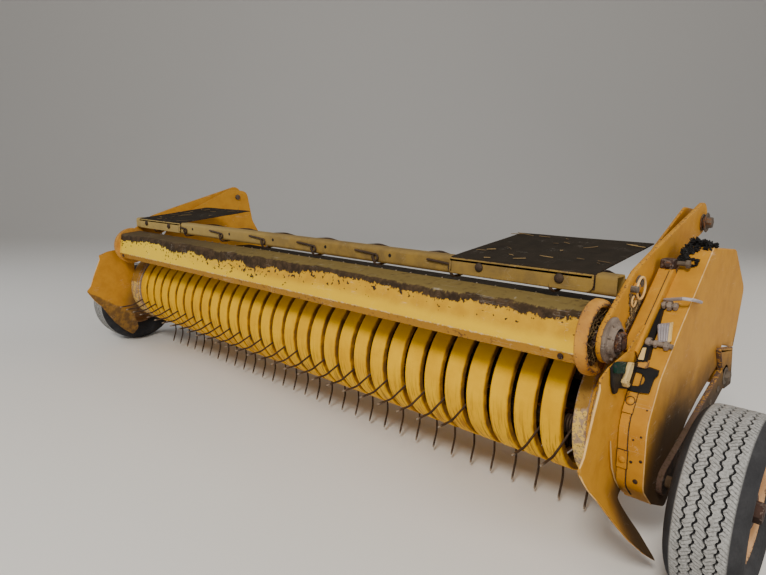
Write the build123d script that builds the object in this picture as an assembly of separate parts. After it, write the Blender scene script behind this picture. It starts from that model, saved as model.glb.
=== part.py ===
from build123d import *
import math
import os

# Hay pickup of a round baler: spring tines on a turning reel comb the swath up between
# yellow stripper bands, under a hinged wind guard, and two small wheels carry it.
# X runs across the machine, Y backwards and Z up, in millimetres.
# The origin is on the hinge that hangs the pickup under the baler, half way across it.

# Tine columns and stripper bands
TINE_PITCH = 66.0
BAND_COUNT = 31
BAND_GAP = 16.0
BAND_THICK = 4.0
BAND_RADIUS = 165.0
BANDS_ASIDE = 13.5
END_GAP = 25.0

# Reel
REEL_AHEAD = 520.0
REEL_DROP = 40.0
TIP_RADIUS = 270.0
TINE_BARS = 5
TINE_WIRE = 6.0
TINE_KNEE = 3.5
KNEE_RADIUS = 216.0
FIRST_TINE = -14.5
LOST_ROW = 0
LOST_TINE = 14
BAR_CIRCLE = 104.0
BAR = 26.0
BAR_WALL = 3.0
COIL_ACROSS = 46.0
COIL_SIDES = 8
REEL_TUBE = 60.0
DISC_COUNT = 5
DISC_THICK = 5.0
DISC_RIM = 12.0
REEL_STUB = 35.0

# Clearances
RUN_FIT = 0.05
MOVE_GAP = 8.0
TINE_CLEAR = 6.0
TINE_ROOM = 17.0
END_ROOM = 35.0
COIL_FIT = 0.2

# End sheets and cross members
SHEET_THICK = 6.0
HINGE_BORE = 45.0
HINGE_BOSS = 84.0
HINGE_WIDTH = 60.0
RAIL = 50.0
RAIL_WALL = 4.0
BEAM_DEEP = 80.0
BEAM_HIGH = 120.0
BEAM_WALL = 6.0
BACK_THICK = 4.0
DECK_THICK = 4.0
DECK_DEEP = 120.0
DECK_NOSE = 50.0
DECK_FALL = 26.0
BEARING_SQUARE = 96.0
BEARING_CORNER = 12.0
BEARING_ROUND = 74.0
BEARING_FLANGE = 8.0
BEARING_THICK = 22.0

# Wind guard
GUARD_PIVOT_Y = -147.0
GUARD_PIVOT_Z = 371.0
GUARD_PIN = 24.0
GUARD_COLLAR = 43.0
COLLAR_GAP = 1.0
GUARD_SIDE_GAP = 3.0
GUARD_SHEET = 4.0
CUP_Y = -695.0
CUP_Z = 163.0
CUP_RADIUS = 78.0
CUP_RIM = 16.0
CUP_BEVEL = 5.0
CUP_DEEP = 24.0
CUP_SHEET = 3.0
ARM_GAP = 21.0
ARM_THICK = 10.0
CROSSBAR = 44.0
CROSSBAR_WALL = 4.0
CROSSBAR_ROUND = 10.0
CROSSBAR_Y = -638.0
CROSSBAR_Z = 263.0
GUARD_SHAFT = 36.0
SHAFT_STAND = 10.0
CLAMP_RADIUS = 47.0
CLAMP_BOSS = 30.0
CLAMP_FLANGE = 8.0
CLAMP_THICK = 18.0
PLATE_WIDE = 364.0
PLATE_DEEP = 330.0
PLATE_RISE = 40.0
PLATE_LIP = 34.0
PLATE_THICK = 3.0
ROD_WIRE = 10.0
ROD_PITCH = 4 * TINE_PITCH
ROD_COUNT = 8
ROD_SHIFT = 24.0
ROD_DROP = 12.0
ROD_LONG = 250.0
ROD_FALL = 8.0
ROD_TAIL = 170.0
ROD_TAIL_FALL = 52.0

# Chain case and post on the left end
CASE_DEEP = 52.0
CASE_WALL = 3.0
POST_DEEP = 28.0
POST_WALL = 3.0

# Gauge wheels
TYRE_RADIUS = 184.0
TYRE_WIDTH = 130.0
TYRE_TREAD = 87.0
TYRE_BEAD = 94.0
TYRE_BULGE = 147.0
RIM_RADIUS = 104.0
RIM_WALL = 4.0
HUB_RADIUS = 32.0
HUB_INNER = 40.0
HUB_OUTER = 46.0
SPINDLE = 25.0
SPINDLE_END = 4.0
WHEEL_AHEAD = 594.0
WHEEL_DROP = 138.0
WHEEL_ARM = 12.0
WHEEL_GAP = 43.0
ARM_BAR = 60.0
ARM_TOP_Y = -190.0
ARM_TOP_Z = -8.0
BRACKET_TUBE = 50.0
BRACKET_WALL = 5.0

# Dividers
DIVIDER_STAND = 66.0
DIVIDER_THICK = 4.0
SKID_GAP = 27.0

# Places worked out from the sizes
REEL_Y = -REEL_AHEAD
REEL_Z = -REEL_DROP
BAND_WIDTH = TINE_PITCH - BAND_GAP
BAND_INNER = BAND_RADIUS - BAND_THICK
RAIL_REACH = math.sqrt((TIP_RADIUS + TINE_ROOM) ** 2 - (BAND_INNER - RAIL) ** 2)
BAND_LEG = RAIL_REACH + RAIL
BAND_REAR = REEL_Y + BAND_LEG
BANDS_HALF = TINE_PITCH * BAND_COUNT / 2
COLUMN_X = [TINE_PITCH * n - BANDS_HALF - BANDS_ASIDE for n in range(BAND_COUNT + 1)]
BAND_X = [x + TINE_PITCH / 2 for x in COLUMN_X[:-1]]
LAST_TINE = BANDS_HALF + BANDS_ASIDE + TINE_WIRE / 2
SHEET_INSIDE = BANDS_HALF + END_ROOM
SHEET_OUTSIDE = SHEET_INSIDE + SHEET_THICK
REEL_HALF = SHEET_INSIDE - MOVE_GAP
GUARD_HALF = SHEET_INSIDE - GUARD_SIDE_GAP
ARM_INSIDE = SHEET_OUTSIDE + ARM_GAP
ARM_OUTSIDE = ARM_INSIDE + ARM_THICK
DIVIDER_INSIDE = SHEET_OUTSIDE + DIVIDER_STAND
CASE_INSIDE = DIVIDER_INSIDE + DIVIDER_THICK
CASE_OUTSIDE = CASE_INSIDE + CASE_DEEP
WHEEL_INSIDE = CASE_OUTSIDE + WHEEL_ARM + WHEEL_GAP
WHEEL_MIDDLE = WHEEL_INSIDE + TYRE_WIDTH / 2
WHEEL_Y = -WHEEL_AHEAD
WHEEL_Z = -WHEEL_DROP
SKID_OUTSIDE = WHEEL_INSIDE - SKID_GAP


def side_face(points):
    """A face in the side view from Y, Z points."""
    return Polygon(*points, align=None)


def across(face, x_from, x_to):
    """The side view face stretched across the machine between two X places."""
    return extrude(Plane.YZ.offset(x_from) * face, x_to - x_from, dir=(1, 0, 0))


def round_bar(radius, x_from, x_to, y, z, bore=0.0):
    """A round bar along X, with a bore where one is given."""
    face = Pos(y, z) * Circle(radius)
    if bore:
        face -= Pos(y, z) * Circle(bore)
    return across(face, x_from, x_to)


def folded(points, thick):
    """The side view face of a sheet folded along points, its thickness to their left."""
    inner = []
    for i, (y, z) in enumerate(points):
        dirs = []
        if i > 0:
            dirs.append((y - points[i - 1][0], z - points[i - 1][1]))
        if i < len(points) - 1:
            dirs.append((points[i + 1][0] - y, points[i + 1][1] - z))
        normals = [(-dz / math.hypot(dy, dz), dy / math.hypot(dy, dz)) for dy, dz in dirs]
        ny = sum(n[0] for n in normals)
        nz = sum(n[1] for n in normals)
        scale = thick / (ny * normals[0][0] + nz * normals[0][1])
        inner.append((y + ny * scale, z + nz * scale))
    return side_face(list(points) + inner[::-1])


def link(start, end):
    """The outline of two circles, each a Y, Z place and a radius, and the edges between."""
    (ya, za, ra), (yb, zb, rb) = start, end
    along = math.atan2(zb - za, yb - ya)
    lean = math.acos((ra - rb) / math.hypot(yb - ya, zb - za))
    corners = [(y + r * math.cos(along + turn), z + r * math.sin(along + turn))
               for y, z, r, turn in ((ya, za, ra, lean), (yb, zb, rb, lean),
                                     (yb, zb, rb, -lean), (ya, za, ra, -lean))]
    return side_face(corners) + Pos(ya, za) * Circle(ra) + Pos(yb, zb) * Circle(rb)


def tube_face(y, z, deep, high, wall, corner):
    """The side view face of a rectangular tube centred on y, z."""
    outer = Pos(y, z) * RectangleRounded(deep, high, corner)
    return outer - Pos(y, z) * Rectangle(deep - 2 * wall, high - 2 * wall)


def polar(radius, angle):
    """The Y, Z place at a radius and an angle above straight ahead of the reel."""
    a = math.radians(angle)
    return REEL_Y - radius * math.cos(a), REEL_Z + radius * math.sin(a)


def group(pieces):
    """Separate solids kept together as one node."""
    return Compound(children=[s for p in pieces for s in p.solids()])


def mirrored(shape):
    """The right end's copy of a left end piece."""
    return mirror(shape, Plane.YZ)


# Stripper bands: hairpins with a round front, and the flanges beside the last ones

def hairpin(radius):
    """A round front with two straight legs, filled."""
    legs = Pos(REEL_Y + BAND_LEG / 2, REEL_Z) * Rectangle(BAND_LEG, 2 * radius)
    return Pos(REEL_Y, REEL_Z) * Circle(radius) + legs


def stripper_bands():
    face = hairpin(BAND_RADIUS) - hairpin(BAND_INNER)
    half = BAND_WIDTH / 2
    return group([across(face, x - half, x + half) for x in BAND_X])


def end_band(x_from, x_to):
    """The curved flange that closes the gap beside an end sheet."""
    return across(hairpin(BAND_RADIUS) - hairpin(BAND_INNER), x_from, x_to)


def front_band():
    """The curved plate outside the end sheet, between it and the divider."""
    ring = Pos(REEL_Y, REEL_Z) * (Circle(BAND_RADIUS) - Circle(BAND_INNER))
    rear_half = Pos(REEL_Y + BAND_RADIUS, REEL_Z) * Rectangle(2 * BAND_RADIUS, 3 * BAND_RADIUS)
    return across(ring - rear_half, SHEET_OUTSIDE, DIVIDER_INSIDE)


# Cross members behind the reel

RAIL_Y = BAND_REAR - RAIL / 2
TOP_RAIL_Z = REEL_Z + BAND_INNER - RAIL / 2
BOTTOM_RAIL_Z = REEL_Z - BAND_INNER + RAIL / 2


def rail(z):
    face = tube_face(RAIL_Y, z, RAIL, RAIL, RAIL_WALL, RAIL_WALL)
    return across(face, -SHEET_INSIDE, SHEET_INSIDE)


def main_beam():
    face = tube_face(BAND_REAR + BEAM_DEEP / 2, REEL_Z, BEAM_DEEP, BEAM_HIGH, BEAM_WALL,
                     BEAM_WALL)
    return across(face, -SHEET_INSIDE, SHEET_INSIDE)


def back_sheet():
    """The plate between the rails that closes the strippers' back."""
    low = BOTTOM_RAIL_Z + RAIL / 2
    high = TOP_RAIL_Z - RAIL / 2
    face = Pos(BAND_REAR - BACK_THICK / 2, (low + high) / 2) * Rectangle(BACK_THICK, high - low)
    return across(face, -SHEET_INSIDE, SHEET_INSIDE)


def feed_deck():
    """The plate that leads the crop from the strippers to the feed rotor."""
    under = REEL_Z + BAND_RADIUS - DECK_THICK
    bend = BAND_REAR + DECK_DEEP
    line = [(BAND_REAR, under), (bend, under), (bend + DECK_NOSE, under - DECK_FALL)]
    return across(folded(line, DECK_THICK), -SHEET_INSIDE, SHEET_INSIDE)


# End sheets with their hinge bosses, reel bearings and guard pins

# Y, Z corners, from under the reel round its front, the guard's ear and the hinge
SHEET_OUTLINE = [
    (REEL_Y, REEL_Z - BAND_RADIUS), (REEL_Y - 138, REEL_Z + 90),
    (-612, 92), (-570, 170), (-500, 262), (-380, 325), (-190, 410), (-90, 400),
    (-60, 250), (HINGE_BOSS / 2 + 12, 60), (HINGE_BOSS / 2 + 12, -30),
    (HINGE_BOSS / 2 - 30, -62), (BAND_REAR, REEL_Z - BAND_RADIUS)]


def end_sheet():
    """The plate that carries the reel's bearing, the guard's pin and the hinge boss."""
    front = round_bar(BAND_RADIUS, SHEET_INSIDE, SHEET_OUTSIDE, REEL_Y, REEL_Z)
    sheet = front + across(side_face(SHEET_OUTLINE), SHEET_INSIDE, SHEET_OUTSIDE)
    # Each hole: its radius and its Y, Z place
    for radius, y, z in ((REEL_STUB / 2 + MOVE_GAP, REEL_Y, REEL_Z),
                         (HINGE_BOSS / 2, 0, 0),
                         (GUARD_PIN / 2, GUARD_PIVOT_Y, GUARD_PIVOT_Z)):
        sheet -= round_bar(radius, SHEET_INSIDE, SHEET_OUTSIDE, y, z)
    return sheet


def hinge_boss():
    """The bored tube through the end sheet that turns on the baler's pin."""
    middle = (SHEET_INSIDE + SHEET_OUTSIDE) / 2
    half = HINGE_WIDTH / 2
    return round_bar(HINGE_BOSS / 2, middle - half, middle + half, 0, 0, HINGE_BORE / 2)


def reel_bearing():
    """The square flanged bearing on the end sheet."""
    place = Pos(REEL_Y, REEL_Z)
    bore = Circle(REEL_STUB / 2 + RUN_FIT)
    flange = RectangleRounded(BEARING_SQUARE, BEARING_SQUARE, BEARING_CORNER) - bore
    body = Circle(BEARING_ROUND / 2) - bore
    face_x = SHEET_OUTSIDE + BEARING_FLANGE
    end_x = SHEET_OUTSIDE + BEARING_THICK
    return across(place * flange, SHEET_OUTSIDE, face_x) + across(place * body, face_x, end_x)


def guard_pin():
    """The pin that the guard's arm turns on, with its collar."""
    pin = round_bar(GUARD_PIN / 2, SHEET_INSIDE - MOVE_GAP, ARM_OUTSIDE + SHAFT_STAND,
                    GUARD_PIVOT_Y, GUARD_PIVOT_Z)
    return pin + round_bar(GUARD_COLLAR / 2, SHEET_OUTSIDE, ARM_INSIDE - COLLAR_GAP,
                           GUARD_PIVOT_Y, GUARD_PIVOT_Z)


# Reel

def bar_angle(number):
    return FIRST_TINE + 360.0 * number / TINE_BARS


def bar_place(number):
    """Where a tine bar is in the side view, with its sides along the reel's radius."""
    return Pos(*polar(BAR_CIRCLE, bar_angle(number))) * Rot(0, 0, -bar_angle(number))


def reel_shaft():
    tube = round_bar(REEL_TUBE / 2, -REEL_HALF, REEL_HALF, REEL_Y, REEL_Z)
    reach = SHEET_OUTSIDE + BEARING_THICK + SPINDLE_END
    return tube + round_bar(REEL_STUB / 2, -reach, reach, REEL_Y, REEL_Z)


def reel_discs():
    """Star shaped plates that carry the tine bars."""
    star = Pos(REEL_Y, REEL_Z) * Circle(REEL_TUBE)
    reach = BAR_CIRCLE + BAR / 2 + DISC_RIM
    for number in range(TINE_BARS):
        arm = Pos(*polar(reach / 2, bar_angle(number))) * Rot(0, 0, -bar_angle(number))
        star += arm * Rectangle(reach, BAR + 2 * DISC_RIM)
    for number in range(TINE_BARS):
        star -= bar_place(number) * Rectangle(BAR, BAR)
    star -= Pos(REEL_Y, REEL_Z) * Circle(REEL_TUBE / 2)
    end = REEL_HALF - DISC_THICK / 2
    inner = [TINE_PITCH * round(2 * end * n / (DISC_COUNT - 1) / TINE_PITCH) - BANDS_ASIDE
             for n in range(-(DISC_COUNT // 2) + 1, DISC_COUNT // 2)]
    half = DISC_THICK / 2
    return group([across(star, x - half, x + half) for x in [-end, *inner, end]])


def tine_bars():
    face = Rectangle(BAR, BAR) - Rectangle(BAR - 2 * BAR_WALL, BAR - 2 * BAR_WALL)
    return group([across(bar_place(n) * face, -REEL_HALF, REEL_HALF)
                  for n in range(TINE_BARS)])


def tine_face(angle):
    """One spring wire from its coil to its bent tip, seen from the side."""
    start = polar(BAR_CIRCLE + COIL_ACROSS / 2 - TINE_WIRE, angle)
    knee = polar(KNEE_RADIUS, angle - TINE_KNEE)
    tip = polar(TIP_RADIUS - TINE_WIRE / 4, angle)
    return folded([tip, knee, start], TINE_WIRE)


def tine_row(number):
    """The double spring tines of one bar, less the one that the front row has lost."""
    hole = BAR + 2 * COIL_FIT
    coil = bar_place(number) * (RegularPolygon(COIL_ACROSS / 2, COIL_SIDES) - Rectangle(hole, hole))
    wire = tine_face(bar_angle(number))
    half = TINE_WIRE / 2
    tines = []
    for place, (left, right) in enumerate(zip(COLUMN_X[0::2], COLUMN_X[1::2])):
        if (number, place) == (LOST_ROW, LOST_TINE):
            continue
        tine = across(coil, left - half, right + half)
        for x in (left, right):
            tine += across(wire, x - half, x + half)
        tines.append(tine)
    return group(tines)


# Wind guard

# Y, Z of the sheet's back edge, two folds and lower edge, from the cup's centre
GUARD_FOLDS = [(33, 66), (-50, 56), (-62, -26), (-56, -47)]


def guard_sheet():
    """The folded sheet: a level top, an upright front and a lip turned in."""
    line = [(CUP_Y + y, CUP_Z + z) for y, z in GUARD_FOLDS]
    return across(folded(line, GUARD_SHEET), -GUARD_HALF, GUARD_HALF)


def end_cup():
    """A dished disc with a thick rim turned outwards, square bored for the shaft."""
    x = GUARD_HALF
    place = Pos(CUP_Y, CUP_Z)
    disc = across(place * Circle(CUP_RADIUS), x, x + CUP_SHEET)
    rim = across(place * (Circle(CUP_RADIUS) - Circle(CUP_RADIUS - CUP_RIM)), x, x + CUP_DEEP)
    outer = rim.edges().filter_by(GeomType.CIRCLE).filter_by_position(Axis.X, x + CUP_DEEP,
                                                                    x + CUP_DEEP)
    rim = chamfer(outer, CUP_BEVEL)
    hole = across(place * Rectangle(GUARD_SHAFT, GUARD_SHAFT), x, x + CUP_SHEET)
    return disc + rim - hole


def guard_shaft():
    """The square stub that holds the cup in the arm, clear of the last tine."""
    reach = ARM_OUTSIDE + CLAMP_THICK + SHAFT_STAND
    square = Pos(CUP_Y, CUP_Z) * Rectangle(GUARD_SHAFT, GUARD_SHAFT)
    return across(square, LAST_TINE + TINE_CLEAR, reach)


def guard_clamp():
    """The cast flange that holds the square shaft in the arm."""
    x = ARM_OUTSIDE
    place = Pos(CUP_Y, CUP_Z)
    square = Rectangle(GUARD_SHAFT, GUARD_SHAFT)
    flange = across(place * (Circle(CLAMP_RADIUS) - square), x, x + CLAMP_FLANGE)
    boss = across(place * (Circle(CLAMP_BOSS) - square), x + CLAMP_FLANGE, x + CLAMP_THICK)
    return flange + boss


# Stations of the guard's arm from the cup to the pin: Y, Z, radius
ARM_STATIONS = [
    (CUP_Y, CUP_Z, 46.0),
    (CUP_Y + 126, CUP_Z + 85, 46.0),
    (CUP_Y + 231, CUP_Z + 128, 37.0),
    (GUARD_PIVOT_Y, GUARD_PIVOT_Z + 10, 40.0)]


def guard_arm():
    arm = across(link(ARM_STATIONS[0], ARM_STATIONS[1]), ARM_INSIDE, ARM_OUTSIDE)
    for start, end in zip(ARM_STATIONS[1:], ARM_STATIONS[2:]):
        arm += across(link(start, end), ARM_INSIDE, ARM_OUTSIDE)
    arm -= round_bar(GUARD_PIN / 2 + RUN_FIT, ARM_INSIDE, ARM_OUTSIDE, GUARD_PIVOT_Y,
                     GUARD_PIVOT_Z)
    shaft = Pos(CUP_Y, CUP_Z) * Rectangle(GUARD_SHAFT, GUARD_SHAFT)
    return arm - across(shaft, ARM_INSIDE, ARM_OUTSIDE)


def crossbar():
    face = tube_face(CROSSBAR_Y, CROSSBAR_Z, CROSSBAR, CROSSBAR, CROSSBAR_WALL,
                     CROSSBAR_ROUND)
    return across(face, -ARM_INSIDE, ARM_INSIDE)


def guide_plate():
    """The shelf behind the crossbar at each end, with its lip on the bar's face."""
    front = CROSSBAR_Y - CROSSBAR / 2
    top = CROSSBAR_Z + CROSSBAR / 2
    line = [(front, top - PLATE_LIP), (front, top), (front + PLATE_DEEP, top + PLATE_RISE)]
    outer = SHEET_INSIDE - 2 * MOVE_GAP
    return across(folded(line, PLATE_THICK), outer - PLATE_WIDE, outer)


def guard_rods():
    """Long spring rods that hold the crop down behind the crossbar."""
    back = CROSSBAR_Y + CROSSBAR / 2
    start = CROSSBAR_Z - ROD_DROP
    line = [(back, start), (back + ROD_LONG, start - ROD_FALL),
            (back + ROD_LONG + ROD_TAIL, start - ROD_FALL - ROD_TAIL_FALL)]
    face = folded(line, ROD_WIRE)
    places = [ROD_SHIFT + ROD_PITCH * (n - (ROD_COUNT - 1) / 2) for n in range(ROD_COUNT)]
    return group([across(face, x - ROD_WIRE / 2, x + ROD_WIRE / 2) for x in places])


# Chain case and post of the left end

# Y, Z corners, from the top front backwards and round underneath
CASE_OUTLINE = [
    (-385, 330), (-172, 311), (-32, 198), (-60, 84), (-76, 41), (-203, 72), (-201, 28),
    (-275, 9), (-378, -24), (-437, -50), (-504, -102), (-489, -169), (-540, -225),
    (-640, -176), (-698, -124), (-712, 10), (-662, 95), (-568, 180)]


def chain_case():
    """The pressed cover of the reel's drive, open towards the end sheet."""
    face = side_face(CASE_OUTLINE)
    shell = across(face, CASE_INSIDE, CASE_OUTSIDE)
    return shell - across(offset(face, -CASE_WALL), CASE_INSIDE, CASE_OUTSIDE - CASE_WALL)


# Y, Z of the foot and the top of the post's rear side
POST_LINE = [(-636, 118), (-452, 270)]


def side_post():
    """The folded channel that slants up beside the guard's arm."""
    x = ARM_OUTSIDE + MOVE_GAP
    bar = across(folded(POST_LINE, POST_DEEP), x, CASE_INSIDE)
    inside = folded(POST_LINE, POST_DEEP - POST_WALL)
    return bar - across(inside, x + POST_WALL, CASE_INSIDE - POST_WALL)


# Dividers with their skids

# Y, Z corners, from the back of the top forwards, down the leading edge and back
DIVIDER_OUTLINE = [
    (-664, 142), (-700, 147), (-781, 135), (-818, 121), (-815, 103), (-841, 43), (-861, -13),
    (-880, -34), (-783, -95), (-682, -162), (-664, -150)]

# The skid's corners: millimetres out from the divider's middle, Y, Z
SKID_OUT = SKID_OUTSIDE - DIVIDER_INSIDE - DIVIDER_THICK / 2
SKID_TIP, SKID_BEND, SKID_HEEL = (0, -880, -34), (0, -783, -95), (0, -682, -162)
SKID_EDGE = [(18, -817, -112), (43, -745, -208), (SKID_OUT, -656, -285), (SKID_OUT, -646, -242)]
SKID_PANELS = [
    (SKID_TIP, SKID_EDGE[0], SKID_BEND), (SKID_BEND, SKID_EDGE[0], SKID_EDGE[1]),
    (SKID_BEND, SKID_EDGE[1], SKID_HEEL), (SKID_HEEL, SKID_EDGE[1], SKID_EDGE[2]),
    (SKID_HEEL, SKID_EDGE[2], SKID_EDGE[3])]


def divider():
    """The upright plate that parts the swath at the end, and the skid bent out of its foot."""
    plate = across(side_face(DIVIDER_OUTLINE), DIVIDER_INSIDE, CASE_INSIDE)
    middle = DIVIDER_INSIDE + DIVIDER_THICK / 2
    for corners in SKID_PANELS:
        places = [Vector(middle + out, y, z) for out, y, z in corners]
        plate += extrude(Face(Wire.make_polygon(places)), DIVIDER_THICK, dir=(0, 0, 1))
    return plate


# Gauge wheels

def tyre():
    """A plain tyre with a flat tread and bulged side walls."""
    bead = TYRE_BEAD / 2
    wide = TYRE_WIDTH / 2
    tread = TYRE_TREAD / 2
    face = Polygon(
        (RIM_RADIUS, -bead), (TYRE_BULGE, -wide), (TYRE_RADIUS, -tread),
        (TYRE_RADIUS, tread), (TYRE_BULGE, wide), (RIM_RADIUS, bead), align=None)
    ring = revolve(Plane.XZ * face, Axis.Z)
    return Pos(WHEEL_MIDDLE, WHEEL_Y, WHEEL_Z) * Rot(0, 90, 0) * ring


def rim():
    """A dished rim with its hub, open to the outside."""
    bead = TYRE_BEAD / 2
    bore = SPINDLE / 2 + RUN_FIT
    barrel = round_bar(RIM_RADIUS, -bead, bead, 0, 0, RIM_RADIUS - RIM_WALL)
    disc = round_bar(RIM_RADIUS - RIM_WALL, 0, RIM_WALL, 0, 0, bore)
    hub = round_bar(HUB_RADIUS, -HUB_INNER, HUB_OUTER, 0, 0, bore)
    return Pos(WHEEL_MIDDLE, WHEEL_Y, WHEEL_Z) * (barrel + disc + hub)


# Y, Z corners of the plate at the top of a wheel's arm
ARM_PLATE = [(-266, 78), (-139, 57), (-108, -50), (-180, -46)]


def wheel_arm():
    """The bar that holds a gauge wheel, with the plate at its top and its spindle."""
    face = link((ARM_TOP_Y, ARM_TOP_Z, ARM_BAR / 2), (WHEEL_Y, WHEEL_Z, ARM_BAR / 2))
    face += side_face(ARM_PLATE)
    foot = CASE_OUTSIDE + WHEEL_ARM
    end = WHEEL_MIDDLE + HUB_OUTER + SPINDLE_END
    return across(face, CASE_OUTSIDE, foot) + round_bar(SPINDLE / 2, foot, end, WHEEL_Y, WHEEL_Z)


def wheel_bracket():
    """The tube that stands a wheel's bar off the end sheet."""
    return round_bar(BRACKET_TUBE / 2, SHEET_OUTSIDE, CASE_OUTSIDE, ARM_TOP_Y, ARM_TOP_Z,
                     BRACKET_TUBE / 2 - BRACKET_WALL)


def write(name, shape):
    export_step(shape, os.path.join("parts", name + ".step"))


def build():
    os.makedirs("parts", exist_ok=True)
    # Pieces that both ends have: made for the left and mirrored for the right
    ends = {"end_sheet": end_sheet(), "front_band": front_band(), "hinge_boss": hinge_boss(),
            "reel_bearing": reel_bearing(), "guard_pin": guard_pin(), "end_cup": end_cup(),
            "guard_shaft": guard_shaft(), "guard_clamp": guard_clamp(),
            "guard_arm": guard_arm(), "guide_plate": guide_plate(), "divider": divider(),
            "tyre": tyre(), "rim": rim(), "wheel_arm": wheel_arm(),
            "wheel_bracket": wheel_bracket()}
    for name, left in ends.items():
        write(name + "_left", left)
        write(name + "_right", mirrored(left))
    last_band = BAND_X[-1] + BAND_WIDTH / 2
    write("end_band_left", end_band(last_band + END_GAP, SHEET_INSIDE))
    write("end_band_right", end_band(-SHEET_INSIDE, -LAST_TINE - TINE_CLEAR))
    write("stripper_bands", stripper_bands())
    write("top_rail", rail(TOP_RAIL_Z))
    write("bottom_rail", rail(BOTTOM_RAIL_Z))
    write("main_beam", main_beam())
    write("back_sheet", back_sheet())
    write("feed_deck", feed_deck())
    write("reel_shaft", reel_shaft())
    write("reel_discs", reel_discs())
    write("tine_bars", tine_bars())
    for number in range(TINE_BARS):
        write(f"tine_row_{number + 1}", tine_row(number))
    write("guard_sheet", guard_sheet())
    write("crossbar", crossbar())
    write("guard_rods", guard_rods())
    write("chain_case", chain_case())
    write("side_post", side_post())


build()
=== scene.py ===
import logging
import math
import random
from dataclasses import dataclass
from enum import Enum
from typing import Callable, Sequence

import bmesh
import bpy
from mathutils import Matrix, Vector, noise
from mathutils.geometry import delaunay_2d_cdt, tessellate_polygon


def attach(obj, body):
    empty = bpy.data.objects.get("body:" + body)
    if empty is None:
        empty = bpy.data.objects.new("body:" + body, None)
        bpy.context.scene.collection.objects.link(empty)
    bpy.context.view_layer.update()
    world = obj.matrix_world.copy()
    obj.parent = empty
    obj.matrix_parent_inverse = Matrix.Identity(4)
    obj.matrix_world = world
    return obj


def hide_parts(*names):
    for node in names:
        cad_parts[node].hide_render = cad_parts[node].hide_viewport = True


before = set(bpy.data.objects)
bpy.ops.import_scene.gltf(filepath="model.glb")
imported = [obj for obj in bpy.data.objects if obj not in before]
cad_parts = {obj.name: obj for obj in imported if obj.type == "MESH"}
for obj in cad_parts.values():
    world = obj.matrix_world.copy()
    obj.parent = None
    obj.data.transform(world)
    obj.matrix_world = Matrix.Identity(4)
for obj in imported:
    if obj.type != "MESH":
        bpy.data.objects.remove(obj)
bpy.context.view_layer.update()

# Looks of a round baler's hay pickup. Pieces are made in millimetres in the frame of the solids:
# X across with the left end at plus, Y backwards, Z up, from the middle of the hinge.

MM = 0.001
# How far a rounded edge's middle lies in from each face, as a share of its radius
ROUND = 0.29

# Places that several sub-assemblies share
REEL_Y, REEL_Z = -520.0, -40.0
COLUMNS = [66.0 * (n - 15.5) - 13.5 for n in range(32)]
BANDS = [66.0 * (n - 15) - 13.5 for n in range(31)]
LAST_TINE = 1039.5
SHEET_IN, SHEET_OUT = 1058.0, 1064.0
ARM_IN, ARM_OUT = 1085.0, 1095.0
DIVIDER_IN, CASE_IN, CASE_OUT = 1130.0, 1134.0, 1186.0
CUP_Y, CUP_Z = -695.0, 163.0
PIVOT_Y, PIVOT_Z = -147.0, 371.0
BAR_Y, BAR_Z = -638.0, 263.0
RAIL_Y = -230.3
WHEEL_X, WHEEL_Y, WHEEL_Z = 1306.0, -594.0, -138.0

Flat = tuple[float, float]
Colour = tuple[float, float, float]
Values = float | Sequence[float]


class Body(Enum):
    """The bodies that the pieces ride on."""

    FRAME = "frame"
    REEL = "reel"
    GUARD = "wind_guard"
    WHEEL_LEFT = "wheel_left"
    WHEEL_RIGHT = "wheel_right"


class Side(Enum):
    """The two ends of the pickup, with the sign of their X."""

    LEFT = 1
    RIGHT = -1

    @property
    def label(self) -> str:
        """The ending of this end's node names."""
        return self.name.lower()

    @property
    def wheel(self) -> Body:
        """The body of this end's gauge wheel."""
        return Body.WHEEL_LEFT if self is Side.LEFT else Body.WHEEL_RIGHT


# Plane geometry of outlines

def polar(radius: float, angle: float) -> Flat:
    """The side view place at a radius and an angle above straight ahead of the reel."""
    turn = math.radians(angle)
    return REEL_Y - radius * math.cos(turn), REEL_Z + radius * math.sin(turn)


def circle(y: float, z: float, radius: float, steps: int = 32) -> list[Flat]:
    """A round outline about a side view place."""
    return [(y + radius * math.cos(turn), z + radius * math.sin(turn))
            for turn in (math.tau * n / steps for n in range(steps))]


def rectangle(y0: float, z0: float, y1: float, z1: float) -> list[Flat]:
    """A square cornered outline between two opposite corners."""
    return [(y0, z0), (y1, z0), (y1, z1), (y0, z1)]


def rounded(points: Sequence[Flat], radius: Values, steps: int, closed: bool = True) -> list[Flat]:
    """A line or outline with its corners rounded.

    Args:
        points: the corners.
        radius: one radius for all corners, or one for each.
        steps: how many pieces make one corner.
        closed: whether the last corner joins the first.

    Returns:
        The points of the rounded line.
    """
    made: list[Flat] = []
    count = len(points)
    for i, corner in enumerate(points):
        if not closed and i in (0, count - 1):
            made.append(tuple(corner))
            continue
        at = Vector(corner)
        back = Vector(points[i - 1]) - at
        on = Vector(points[(i + 1) % count]) - at
        size = radius if isinstance(radius, (int, float)) else radius[i]
        half = back.angle(on) / 2
        reach = min(size / max(math.tan(half), 0.05), 0.48 * back.length, 0.48 * on.length)
        start, end = at + back.normalized() * reach, at + on.normalized() * reach
        for n in range(steps + 1):
            t = n / steps
            made.append(tuple(start * (1 - t) ** 2 + at * 2 * t * (1 - t) + end * t * t))
    return made


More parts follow.
